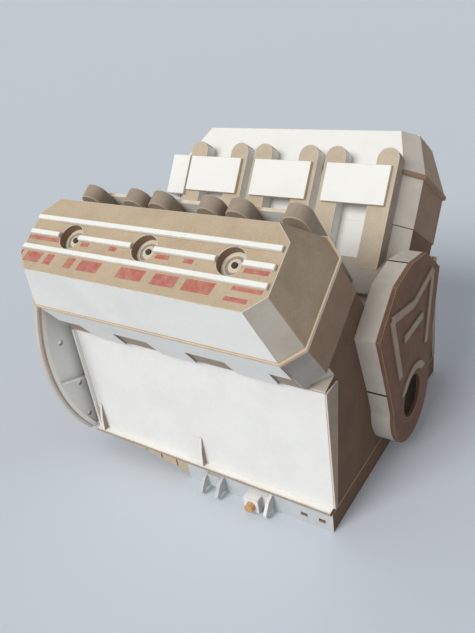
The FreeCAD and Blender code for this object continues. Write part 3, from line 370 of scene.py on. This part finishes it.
def makeDowel(name, stretch):
    look = dowelLook
    material = bpy.data.materials.new(name)
    material.use_nodes = True
    tree = material.node_tree
    tree.nodes.clear()
    place = addNode(tree, "ShaderNodeTexCoord").outputs["Object"]
    turned = addNode(tree, "ShaderNodeMapping", inputs={"Vector": place, "Scale": stretch})
    grain = addNode(tree, "ShaderNodeTexNoise", inputs={
        "Vector": turned.outputs[0], "Scale": 1 / (look["grainMm"] * mm), "Detail": 4, "Roughness": 0.6})
    share = addNode(tree, "ShaderNodeMapRange", inputs={
        "Value": grain.outputs[0], "From Min": look["grainFrom"], "From Max": look["grainTo"]})
    colour = blendColours(tree, share.outputs[0], hexColour(look["light"]), hexColour(look["dark"]))
    bump = addNode(tree, "ShaderNodeBump", inputs={
        "Height": grain.outputs[0], "Strength": look["bump"], "Distance": look["bumpDepth"]})
    shader = addNode(tree, "ShaderNodeBsdfPrincipled", inputs={
        "Base Color": colour, "Roughness": look["roughness"], "Normal": bump.outputs[0],
        "IOR": look["ior"]})
    addNode(tree, "ShaderNodeOutputMaterial", inputs={"Surface": shader.outputs[0]})
    return material


finishes["birchDowelAlong"] = makeDowel("birchDowelAlong", (dowelLook["drawnOut"], 1, 1))
finishes["birchDowelAcross"] = makeDowel("birchDowelAcross", (1, dowelLook["drawnOut"], 1))
print("materials made:", len(finishes))

# Copies of the solids whose cut edges are rounded over and rubbed, with a finish for each face
softLook = {
    "merge": 0.002 * mm, "flatAngle": math.radians(0.6), "cornerAngle": math.radians(24), "segments": 2,
    "smoothAngle": math.radians(32),
}
# How far a cut edge is rounded over, from crisp lined card to well-rubbed greyboard
rounding = {
    "crisp": 0.15 * mm, "eased": 0.2 * mm, "cover": 0.22 * mm, "softened": 0.25 * mm, "rubbedOff": 0.3 * mm,
}


# chooseFace and chooseEdge name the finish of a face or a rounded edge, from its direction and place
def softCopy(nodeName, chooseFace, edgeLook=None, edgeRound="eased", grooves=(), chooseEdge=None):
    piece = bpy.data.objects.new(nodeName + "_board", nodes[nodeName].data.copy())
    bpy.context.scene.collection.objects.link(piece)
    makeActive(piece)
    piece.data.materials.clear()
    slots = []

    def addSlot(look):
        slots.append(look)
        piece.data.materials.append(finishes[look])
        return len(slots) - 1

    def slotOf(look):
        return slots.index(look) if look in slots else addSlot(look)

    bpy.ops.mesh.customdata_custom_splitnormals_clear()
    bpy.ops.object.mode_set(mode="EDIT")
    bpy.ops.mesh.select_all(action="SELECT")
    bpy.ops.mesh.remove_doubles(threshold=softLook["merge"])
    bpy.ops.mesh.dissolve_limited(angle_limit=softLook["flatAngle"])
    bpy.ops.object.mode_set(mode="OBJECT")
    for groove in grooves:
        cutGroove(piece, groove)
    makeActive(piece)
    for face in piece.data.polygons:
        face.material_index = slotOf(chooseFace(face.normal, face.center))
    edgeSlot = addSlot(edgeLook) if edgeLook else -1  # -1 takes the finish of the face beside it
    bevel = piece.modifiers.new("rubbed", "BEVEL")
    bevel.width = rounding[edgeRound]
    bevel.segments = softLook["segments"]
    bevel.limit_method = "ANGLE"
    bevel.angle_limit = softLook["cornerAngle"]
    bevel.use_clamp_overlap = False
    bevel.material = edgeSlot
    bevel.miter_outer = "MITER_SHARP"
    bpy.ops.object.modifier_apply(modifier=bevel.name)
    if chooseEdge:
        for face in piece.data.polygons:
            if face.material_index == edgeSlot:
                face.material_index = slotOf(chooseEdge(face.normal, face.center))
    bpy.ops.object.shade_smooth_by_angle(angle=softLook["smoothAngle"])
    even = piece.modifiers.new("even", "WEIGHTED_NORMAL")
    even.keep_sharp = True
    bpy.ops.object.modifier_apply(modifier=even.name)
    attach(piece, nodeBody[nodeName])
    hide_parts(nodeName)
    return piece


def cutGroove(piece, groove):
    makeActive(piece)
    bpy.ops.mesh.primitive_cube_add(size=1, location=groove["centre"], scale=groove["size"])
    cutter = bpy.context.active_object
    bpy.ops.object.transform_apply(location=True, rotation=True, scale=True)
    makeActive(piece)
    cut = piece.modifiers.new("score", "BOOLEAN")
    cut.operation = "DIFFERENCE"
    cut.solver = "EXACT"
    cut.object = cutter
    bpy.ops.object.modifier_apply(modifier=cut.name)
    bpy.data.objects.remove(cutter)


# How squarely a face looks along an axis: 1 is straight along it, 0 is edge on
facing = {
    "flat": 0.99, "due": 0.95, "square": 0.9, "steep": 0.85, "crest": 0.8, "flank": 0.8, "half": 0.5,
    "leaning": 0.3, "level": 0.1, "under": -0.05,
}
alongX = Vector((1, 0, 0))
alongY = Vector((0, 1, 0))
alongZ = Vector((0, 0, 1))
# What differs between the near bank's boards, on the right, and the far bank's. Most of it is painted light
# and shade: the far cover's side is painted brighter as lit, the near pillars darker as shade, the corners
# shaded cards on both banks, and the far plate and head edges dark as painted shadow lines.
bankLooks = {
    "right": {
        "coverSide": "linedCard", "coverCorner": "dullCardPaintedShade", "valleyCorner": "mauveBoard",
        "plateEdge": "cutEdge", "headCorner": "deepCardPaintedShade", "headEdge": "rubbedEdge",
        "pillarFlank": "greyTanBoardAndShade", "lastFlank": "greyTanBoardAndShade", "pillarTop": "greyTanBoardAndShade",
        "pillarEdge": "tanGreyboard",
    },
    "left": {
        "coverSide": "whiteCardPaintedLight", "coverCorner": "warmCardPaintedShade", "valleyCorner": "warmCardPaintedShade",
        "plateEdge": "brownBoardAndShade", "headCorner": "warmCardPaintedShade", "headEdge": "brownBoardAndShade",
        "pillarFlank": "linedCard", "lastFlank": "greyTanBoardAndShade", "pillarTop": "paleGreyboard",
        "pillarEdge": "cutEdge",
    },
}
# How far a face's middle may lie below the cover's top, its wells' floors or its rim
coverBands = {"top": 0.3 * mm, "well": 0.2 * mm, "rim": 1 * mm}


# One finish for the faces that look along the axis, and another for the rest
def acrossFaces(axis, across, rest):
    return lambda normal, centre: across if abs(normal.dot(axis)) > facing["square"] else rest


def allOver(look):
    return lambda normal, centre: look


# A face's direction in the bank's own axes: along, out and up
def bankFace(side, normal):
    return normal.x, normal.dot(bankOut[side]), normal.dot(bankUp[side])


def coverFaces(side):
    looks = bankLooks[side]

    def choose(normal, centre):
        along, out, up = bankFace(side, normal)
        drop = engine["coverTop"] - centre.dot(bankUp[side])
        inWell = drop < engine["wellDepth"] + coverBands["well"] and abs(up) < facing["level"]
        if up > facing["due"] and drop < coverBands["top"]:
            return "printedBoard_" + side
        if inWell or up < facing["under"] or drop < coverBands["rim"]:
            return "brownBoardAndShade"
        if abs(out) > facing["steep"]:
            return looks["coverSide"]
        if abs(along) > facing["steep"]:
            return "mauveBoard"
        if up > facing["due"]:
            return "brownBoardAndShade"  # the plug wells' floors
        # the corners get the bank's card as painted shade
        return looks["valleyCorner"] if out < 0 else looks["coverCorner"]
    return choose


# The cover's ends keep their own board along their corners, apart from the pale line at the top
def coverEdges(side):
    def choose(normal, centre):
        atEnd = abs(normal.x) > facing["leaning"] and normal.dot(bankUp[side]) < facing["crest"]
        return "mauveBoard" if atEnd else "rubbedEdge"
    return choose


# The head's outer wall behind the port pads gets grey-tan board as painted shade, and its corners the
# bank's card as painted shade
def headFaces(side):
    def choose(normal, centre):
        along, out, up = bankFace(side, normal)
        if abs(along) > facing["square"]:
            return "brownBoardAndShade"
        if out > facing["square"]:
            return "greyTanBoardAndShade"
        if out < -facing["square"]:
            return "linedCard"
        return "brownBoardAndShade" if abs(up) > facing["square"] else bankLooks[side]["headCorner"]
    return choose


# The rounded edges of the block's and heads' end faces match them, and the joints in the valley stay pale
def endEdges(end, rest):
    def choose(normal, centre):
        if abs(normal.x) > facing["leaning"]:
            return end
        return "linedCard" if normal.dot(bankOut["left"]) < -facing["leaning"] else rest
    return choose


# The port band's cuts: the walls that look forwards get lighter board as painted light, and the other cut
# walls darker board as painted shade
def bandFaces(side):
    def choose(normal, centre):
        if abs(normal.dot(bankOut[side])) > facing["square"]:
            return "linedCard"
        return "greyTanBoardAndShade" if normal.x > facing["leaning"] else "brownBoardAndShade"
    return choose


# The far bank's front pillar stands in the shade: its side gets grey-tan board as painted shade
def pillarFaces(side):
    looks = bankLooks[side]

    def choose(normal, centre):
        if abs(normal.x) < facing["flank"]:
            return looks["pillarTop"]
        return looks["lastFlank"] if centre.x > engine["lastPillar"] else looks["pillarFlank"]
    return choose


for side in bankSigns:
    looks = bankLooks[side]
    softCopy(side + "_cam_cover", coverFaces(side), "rubbedEdge", "cover", chooseEdge=coverEdges(side))
    # The ribs and the intake plates' faces are painted brighter as lit, and the plates' sides cream as
    # painted light
    softCopy(side + "_cover_ribs", acrossFaces(alongX, "cutEdge", "whiteCardPaintedLight"), "rubbedEdge", "rubbedOff")
    softCopy(side + "_cover_plate", acrossFaces(bankUp[side], "tanGreyboard", looks["plateEdge"]),
             looks["plateEdge"], "rubbedOff")
    softCopy(side + "_port_band", bandFaces(side), "rubbedEdge", "crisp")
    softCopy(side + "_head", headFaces(side), looks["headEdge"], "eased",
             chooseEdge=endEdges("brownBoardAndShade", looks["headEdge"]))
    softCopy(side + "_intake_plates", acrossFaces(bankOut[side], "whiteCardPaintedLight", "creamCard"),
             "creamCard", "eased")
    softCopy(side + "_intake_pillars", pillarFaces(side), looks["pillarEdge"], "rubbedOff")
    softCopy(side + "_side_panel", acrossFaces(alongY, "linedCard", "cutEdge"), "rubbedEdge", "crisp")
print("cover, head and panel boards made")


# The block's ends get dark board darkened as painted shade, and its faces off the decks warm card as
# painted shade
def caseFaces(normal, centre):
    if abs(normal.x) > facing["square"]:
        return "darkBoardAndShade"
    alongDeck = any(abs(normal.dot(bankOut[side])) > facing["due"] for side in bankSigns)
    return "linedCard" if alongDeck else "warmCardPaintedShade"


# The bed plate's top is painted brighter as lit, its ends dark and its sides grey-tan as painted shade
def bedFaces(normal, centre):
    if normal.z > facing["half"]:
        return "whiteCardPaintedLight"
    return "darkBoardAndShade" if abs(normal.x) > facing["square"] else "greyTanBoardAndShade"


def bedEdges(normal, centre):
    return "darkBoardAndShade" if abs(normal.x) > facing["leaning"] else "rubbedEdge"


# How far out a bell face looks, measured from the bell plate's centre
def bellReach(normal, centre):
    return centre.y * normal.y + (centre.z - engine["bellCentre"]) * normal.z


# The bell's rim gets warm card as painted shade, and its holes' walls grey-tan board as painted shade
def bellFaces(normal, centre):
    if abs(normal.x) > facing["square"]:
        return "linedCard" if normal.x > 0 else "tanGreyboard"
    rim = bellReach(normal, centre) > engine["bellInner"] or abs(normal.z) > facing["flat"]
    return "warmCardPaintedShade" if rim else "greyTanBoardAndShade"


# Outside the rim a brown ring is a painted shadow line between the layers, and the rim's other faces are
# painted brighter as lit
def bellRimFaces(normal, centre):
    outside = bellReach(normal, centre) > engine["bellInner"] and abs(normal.x) < facing["square"]
    return "brownBoardAndShade" if outside else "whiteCardPaintedLight"


# The sump's outer sides get cool grey card as painted shade and reflected light, and its front dark board
# as painted shade
def sumpFaces(normal, centre):
    if abs(normal.y) > facing["half"]:
        return "coolCardPaintedShade" if abs(centre.y) > engine["sumpSide"] else "brownBoardAndShade"
    if abs(normal.x) > facing["square"]:
        if centre.x > engine["sumpFront"]:
            return "darkBoardAndShade"
        return "tanGreyboard" if centre.x < engine["sumpRear"] else "brownBoardAndShade"
    return "tanGreyboard" if centre.z < engine["sumpSlots"] else "brownBoardAndShade"


# The sump's outer corners are rubbed pale, and the slots' edges stay dark
def sumpEdges(normal, centre):
    if abs(centre.y) < engine["sumpSide"]:
        return "tanGreyboard"
    corner = centre.x > engine["sumpCorner"] or centre.z < engine["sumpSlots"]
    return "rubbedEdge" if corner or centre.z > engine["sumpTop"] else "brownBoardAndShade"


softCopy("crankcase", caseFaces, "brownBoardAndShade", "softened",
         chooseEdge=endEdges("darkBoardAndShade", "brownBoardAndShade"))
# The valley cover's top gets dull card as painted shade
softCopy("valley_cover", acrossFaces(alongZ, "dullCardPaintedShade", "cutEdge"), "rubbedEdge", "crisp")
softCopy("bed_plate", bedFaces, "rubbedEdge", "rubbedOff", chooseEdge=bedEdges)
softCopy("corner_strips", acrossFaces(alongX, "greyTanBoardAndShade", "creamCard"), "greyTanBoardAndShade", "crisp")
# The rear posts and the bell's ribs are painted brighter as lit
softCopy("rear_posts", allOver("whiteCardPaintedLight"), "rubbedEdge", "eased")
# The gussets' sides get grey-tan board as painted shade
softCopy("side_gussets", acrossFaces(alongY, "linedCard", "greyTanBoardAndShade"), "rubbedEdge", "eased")
softCopy("bell_plate", bellFaces, None, "softened")
softCopy("bell_rim", bellRimFaces, None, "rubbedOff")
softCopy("bell_ribs", allOver("whiteCardPaintedLight"), "rubbedEdge", "softened")
softCopy("sump_pan", sumpFaces, "rubbedEdge", "softened", chooseEdge=sumpEdges)
softCopy("sump_ramp", acrossFaces(alongY, "tanGreyboard", "brownBoardAndShade"), "cutEdge", "softened")
# The mounts and the bosses' ends get cool grey card as painted shade
softCopy("mount_brackets", allOver("coolCardPaintedShade"), "rubbedEdge", "eased")
softCopy("pin_bosses", acrossFaces(alongX, "coolCardPaintedShade", "linedCard"), "rubbedEdge", "eased")
softCopy("mount_pins", allOver("birchDowelAcross"), "birchDowelAcross", "softened")
softCopy("timing_cover_strips", acrossFaces(alongX, "greyTanBoardAndShade", "brownBoardAndShade"), "greyTanBoardAndShade", "crisp")
softCopy("timing_cover_face", allOver("kraftBoard"), "brownBoardAndShade", "eased")
print("case, bell, sump and timing boards made")

# The timing cover's side is bent from segments of card, with open scores between them
scoreLook = {
    "width": 0.9 * mm, "depth": 1.2 * mm, "length": 12 * mm, "middleX": 133 * mm, "near": 0.6 * mm,
    "reach": 4 * mm,
}
scorePlaces = [(0, 62.0 * mm), (-23.8 * mm, 15.4 * mm), (23.8 * mm, 15.4 * mm)]  # across and up
scoreGrooves = []
for y, z in scorePlaces:
    size = (scoreLook["length"], scoreLook["width"], 2 * scoreLook["depth"])
    if y:
        size = (scoreLook["length"], 2 * scoreLook["depth"], scoreLook["width"])
    scoreGrooves.append({"centre": (scoreLook["middleX"], y, z), "size": size})


# The timing wall gets warm card as painted shade, and the faces along its scores dark board as the scores'
# painted shade
def wallFaces(normal, centre):
    if abs(normal.x) > facing["square"]:
        return "warmCardPaintedShade"
    for y, z in scorePlaces:
        across = centre.z - z if y else centre.y
        beside = (centre.y > 0) == (y > 0) if y else centre.z > z - scoreLook["reach"]
        if beside and abs(across) < scoreLook["near"]:
            return "grooveShadeBoard"
    return "warmCardPaintedShade"


softCopy("timing_cover_wall", wallFaces, None, "eased", scoreGrooves)

# Plugs: a cream card disc with a pressed ring and a dark centre pin, on a stem through the head. The pin's
# dark is painted shade of a centre hole, and the ring's grey-tan painted shade.
plugLook = {
    "discRadius": 5.15 * mm, "discHeight": 1.2 * mm, "ringInset": 1.5 * mm, "ringDepth": 0.35 * mm,
    "pinRadius": 1.1 * mm, "pinHeight": 0.7 * mm, "stemRadius": 2.2 * mm, "sides": 40,
    "rounded": 0.12 * mm, "cornerAngle": math.radians(40), "smoothAngle": math.radians(35),
    "tolerance": 0.05 * mm,
}


def plugDisc(side, place, bore):
    look = plugLook
    floor = engine["coverTop"] - engine["wellDepth"]
    deselectAll()
    bpy.ops.mesh.primitive_circle_add(vertices=look["sides"], radius=look["stemRadius"], fill_type="NGON",
                                      location=(0, 0, engine["headFloor"]))
    piece = bpy.context.active_object
    piece.name = "plug_" + side + "_" + place
    bpy.ops.object.mode_set(mode="EDIT")
    bpy.ops.mesh.select_all(action="SELECT")

    def step(radiusFrom, radiusTo, rise):
        bpy.ops.mesh.extrude_region_move(TRANSFORM_OT_translate={"value": (0, 0, rise)})
        if radiusTo != radiusFrom:
            scale = radiusTo / radiusFrom
            bpy.ops.transform.resize(value=(scale, scale, 1))

    ringOut = look["discRadius"] - look["ringInset"]
    ringIn = look["pinRadius"] + look["ringInset"]
    step(look["stemRadius"], look["stemRadius"], floor - engine["headFloor"])
    step(look["stemRadius"], look["discRadius"], 0)
    step(look["discRadius"], look["discRadius"], look["discHeight"])
    step(look["discRadius"], ringOut, 0)
    step(ringOut, ringOut, -look["ringDepth"])
    step(ringOut, ringIn, 0)
    step(ringIn, ringIn, look["ringDepth"])
    step(ringIn, look["pinRadius"], 0)
    step(look["pinRadius"], look["pinRadius"], look["pinHeight"])
    bpy.ops.mesh.select_all(action="SELECT")
    bpy.ops.mesh.normals_make_consistent(inside=False)
    bpy.ops.object.mode_set(mode="OBJECT")
    for finish in ("creamCard", "grooveShadeBoard", "greyTanBoardAndShade"):  # the disc, its pin and its pressed ring
        piece.data.materials.append(finishes[finish])
    ringFloor = floor + look["discHeight"] - look["ringDepth"] - engine["headFloor"]
    for face in piece.data.polygons:
        pin = math.hypot(face.center.x, face.center.y) < look["pinRadius"] and face.center.z > 0
        groove = abs(face.center.z - ringFloor) < look["tolerance"]
        face.material_index = 1 if pin else 2 if groove else 0
    sign = bankSigns[side]
    turn = Matrix.Rotation(-sign * tilt, 4, "X")
    shift = Matrix.Translation((bore, sign * engine["plugLine"], 0))
    lift = Matrix.Translation(piece.location)
    piece.data.transform(turn @ shift @ lift)
    piece.matrix_world = Matrix.Identity(4)
    makeActive(piece)
    bevel = piece.modifiers.new("rubbed", "BEVEL")
    bevel.width = look["rounded"]
    bevel.segments = softLook["segments"]
    bevel.limit_method = "ANGLE"
    bevel.angle_limit = look["cornerAngle"]
    bpy.ops.object.modifier_apply(modifier=bevel.name)
    bpy.ops.object.shade_smooth_by_angle(angle=look["smoothAngle"])
    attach(piece, nodeBody["spark_plugs"])
    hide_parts("spark_plugs")
    return piece


for side in bankSigns:
    for place, bore in zip(("rear", "middle", "front"), engine[side + "Bores"]):
        plugDisc(side, place, bore)
print("plugs made")

# A folded white card closes the far bank's intake side at the rear, on the first pillar and the head.
# Its sizes are in the bank's own axes, before the bank is tilted.
endCardLook = {
    "rearX": 7.0 * mm, "frontX": 17.3 * mm, "face": -27.95 * mm, "low": 71.2 * mm, "high": 90.4 * mm,
    "flap": 9.35 * mm, "thick": 1.6 * mm, "rounded": 0.2 * mm, "tolerance": 0.1 * mm,
}


def foldEndCard(side):
    look = endCardLook
    middle = ((look["rearX"] + look["frontX"]) / 2, look["face"], (look["low"] + look["high"]) / 2)
    deselectAll()
    bpy.ops.mesh.primitive_plane_add(size=1, location=middle, rotation=(math.radians(90), 0, 0))
    piece = bpy.context.active_object
    piece.name = "intake_end_card"
    bpy.ops.object.transform_apply(location=True, rotation=True, scale=True)
    bpy.ops.object.mode_set(mode="EDIT")
    bpy.ops.mesh.select_all(action="SELECT")
    bpy.ops.transform.resize(value=(look["frontX"] - look["rearX"], 1, look["high"] - look["low"]),
                             center_override=middle)
    bpy.ops.mesh.select_mode(type="EDGE")
    bpy.ops.mesh.select_all(action="DESELECT")
    bpy.ops.object.mode_set(mode="OBJECT")
    points = piece.data.vertices
    for edge in piece.data.edges:
        edge.select = all(points[i].co.x < look["rearX"] + look["tolerance"] for i in edge.vertices)
    bpy.ops.object.mode_set(mode="EDIT")
    bpy.ops.mesh.extrude_region_move(TRANSFORM_OT_translate={"value": (0, look["flap"], 0)})
    bpy.ops.mesh.select_all(action="SELECT")
    bpy.ops.mesh.normals_make_consistent(inside=False)
    bpy.ops.object.mode_set(mode="OBJECT")
    card = piece.modifiers.new("card", "SOLIDIFY")
    card.thickness = look["thick"]
    card.offset = -1 if piece.data.polygons[0].normal.y < 0 else 1
    card.use_even_offset = True
    bpy.ops.object.modifier_apply(modifier=card.name)
    bevel = piece.modifiers.new("rubbed", "BEVEL")
    bevel.width = look["rounded"]
    bevel.segments = softLook["segments"]
    bevel.material = 1
    # The end card is painted brighter as lit, and its rounded edges rubbed
    for finish in ("whiteCardPaintedLight", "rubbedEdge"):
        piece.data.materials.append(finishes[finish])
    bpy.ops.object.modifier_apply(modifier=bevel.name)
    piece.data.transform(Matrix.Rotation(-bankSigns[side] * tilt, 4, "X"))
    bpy.ops.object.mode_set(mode="EDIT")
    bpy.ops.mesh.select_all(action="SELECT")
    bpy.ops.mesh.normals_make_consistent(inside=False)
    bpy.ops.object.mode_set(mode="OBJECT")
    bpy.ops.object.shade_smooth_by_angle(angle=softLook["smoothAngle"])
    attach(piece, nodeBody[side + "_intake_plates"])
    return piece


foldEndCard("left")
print("rear end card folded")

# What turns and slides inside, and what carries it, keeps its solids, with a finish for each
insideLooks = {
    "crankshaft": "birchDowelAlong", "crank_wheel": "brownBoardAndShade", "flywheel": "tanGreyboard",
    "drive_belts": "kraftBoard", "bearing_walls": "brownBoardAndShade", "bearing_caps": "tanGreyboard",
    "cam_caps": "tanGreyboard", "cylinder_liners": "kraftTube",
}
for nodeName, node in nodes.items():
    look = insideLooks.get(nodeName)
    if nodeName.endswith("_rod"):
        look = "tanGreyboard"
    if nodeName.endswith("_piston"):
        look = "kraftTube"
    if nodeName.endswith("_camshaft"):
        look = "birchDowelAlong"
    if look:
        node.data.materials.clear()
        node.data.materials.append(finishes[look])
print("inside pieces finished")

# The camera, at the place that fits the photograph: focal length and width in its pixels, turns in degrees
cameraPlace = {
    "focal": 637.80, "width": 475, "sensor": 36.0, "azimuth": 37.341, "elevation": 29.106, "roll": -8.672,
    "target": (58.030 * mm, -6.889 * mm, 26.393 * mm), "distance": 296.319 * mm, "nearest": 10 * mm,
}
azimuth = math.radians(cameraPlace["azimuth"])
elevation = math.radians(cameraPlace["elevation"])
roll = math.radians(cameraPlace["roll"])
back = Vector((math.sin(azimuth) * math.cos(elevation), -math.cos(azimuth) * math.cos(elevation),
               math.sin(elevation)))
level = Vector((math.cos(azimuth), math.sin(azimuth), 0))
over = back.cross(level)
rightWay = math.cos(roll) * level + math.sin(roll) * over
upWay = -math.sin(roll) * level + math.cos(roll) * over
cameraData = bpy.data.cameras.new("camera")
cameraData.sensor_fit = "HORIZONTAL"
cameraData.sensor_width = cameraPlace["sensor"]
cameraData.lens = cameraPlace["focal"] / cameraPlace["width"] * cameraPlace["sensor"]
cameraData.clip_start = cameraPlace["nearest"]
camera = bpy.data.objects.new("camera", cameraData)
bpy.context.scene.collection.objects.link(camera)
turn = Matrix((rightWay, upWay, back)).transposed().to_4x4()
stand = Vector(cameraPlace["target"]) + back * cameraPlace["distance"]
camera.matrix_world = Matrix.Translation(stand) @ turn
bpy.context.scene.camera = camera

# A wide pale paper floor, and soft light from the near left with the room's light all round
studio = {
    "floorColour": "#D3D9E0", "floorSize": 60.0, "floorCuts": 3, "keyFrom": (-0.2, -0.76, 0.62),
    "keyAngle": 32, "keyStrength": 2.1, "worldStrength": 0.42, "worldColour": "#F4F6FA",
    "backStrength": 1.0, "backColour": "#CDD4DB",
    "paperScale": 900, "paperBump": 0.15, "paperDepth": 0.1 * mm, "paperRoughness": 0.9,
    "floorGap": 0.1 * mm,
}
floorZ = -28.5 * mm  # the sump's underside
deselectAll()
bpy.ops.mesh.primitive_plane_add(size=studio["floorSize"], location=(0, 0, floorZ - studio["floorGap"]))
floor = bpy.context.active_object
floor.name = "floor"
bpy.ops.object.mode_set(mode="EDIT")
bpy.ops.mesh.select_all(action="SELECT")
bpy.ops.mesh.subdivide(number_cuts=studio["floorCuts"])
bpy.ops.object.mode_set(mode="OBJECT")
paper = bpy.data.materials.new("paperFloor")
paper.use_nodes = True
paperTree = paper.node_tree
paperTree.nodes.clear()
paperPlace = addNode(paperTree, "ShaderNodeTexCoord").outputs["Object"]
paperGrain = addNode(paperTree, "ShaderNodeTexNoise", inputs={
    "Vector": paperPlace, "Scale": studio["paperScale"], "Detail": 3})
paperBump = addNode(paperTree, "ShaderNodeBump", inputs={
    "Height": paperGrain.outputs[0], "Strength": studio["paperBump"], "Distance": studio["paperDepth"]})
paperShader = addNode(paperTree, "ShaderNodeBsdfPrincipled", inputs={
    "Base Color": hexColour(studio["floorColour"]), "Roughness": studio["paperRoughness"],
    "Normal": paperBump.outputs[0]})
addNode(paperTree, "ShaderNodeOutputMaterial", inputs={"Surface": paperShader.outputs[0]})
floor.data.materials.append(paper)

keyData = bpy.data.lights.new("key", "SUN")
keyData.angle = math.radians(studio["keyAngle"])
keyData.energy = studio["keyStrength"]
key = bpy.data.objects.new("key", keyData)
bpy.context.scene.collection.objects.link(key)
keyWay = Vector(studio["keyFrom"]).normalized()
key.matrix_world = keyWay.to_track_quat("Z", "Y").to_matrix().to_4x4()

world = bpy.data.worlds.new("studio")
bpy.context.scene.world = world
world.use_nodes = True
sky = world.node_tree
sky.nodes.clear()
rays = addNode(sky, "ShaderNodeLightPath")
seen = addNode(sky, "ShaderNodeMath", {"operation": "MAXIMUM"}, {
    0: rays.outputs["Is Camera Ray"], 1: rays.outputs["Is Glossy Ray"]})
through = addNode(sky, "ShaderNodeMath", {"operation": "MAXIMUM"}, {
    0: seen.outputs[0], 1: rays.outputs["Is Transmission Ray"]})
lightSky = addNode(sky, "ShaderNodeBackground", inputs={
    "Color": hexColour(studio["worldColour"]), "Strength": studio["worldStrength"]})
seenSky = addNode(sky, "ShaderNodeBackground", inputs={
    "Color": hexColour(studio["backColour"]), "Strength": studio["backStrength"]})
bothSkies = addNode(sky, "ShaderNodeMixShader", inputs={
    0: through.outputs[0], 1: lightSky.outputs[0], 2: seenSky.outputs[0]})
addNode(sky, "ShaderNodeOutputWorld", inputs={"Surface": bothSkies.outputs[0]})
bpy.context.scene.view_settings.view_transform = "Standard"
print("camera, floor and light set")
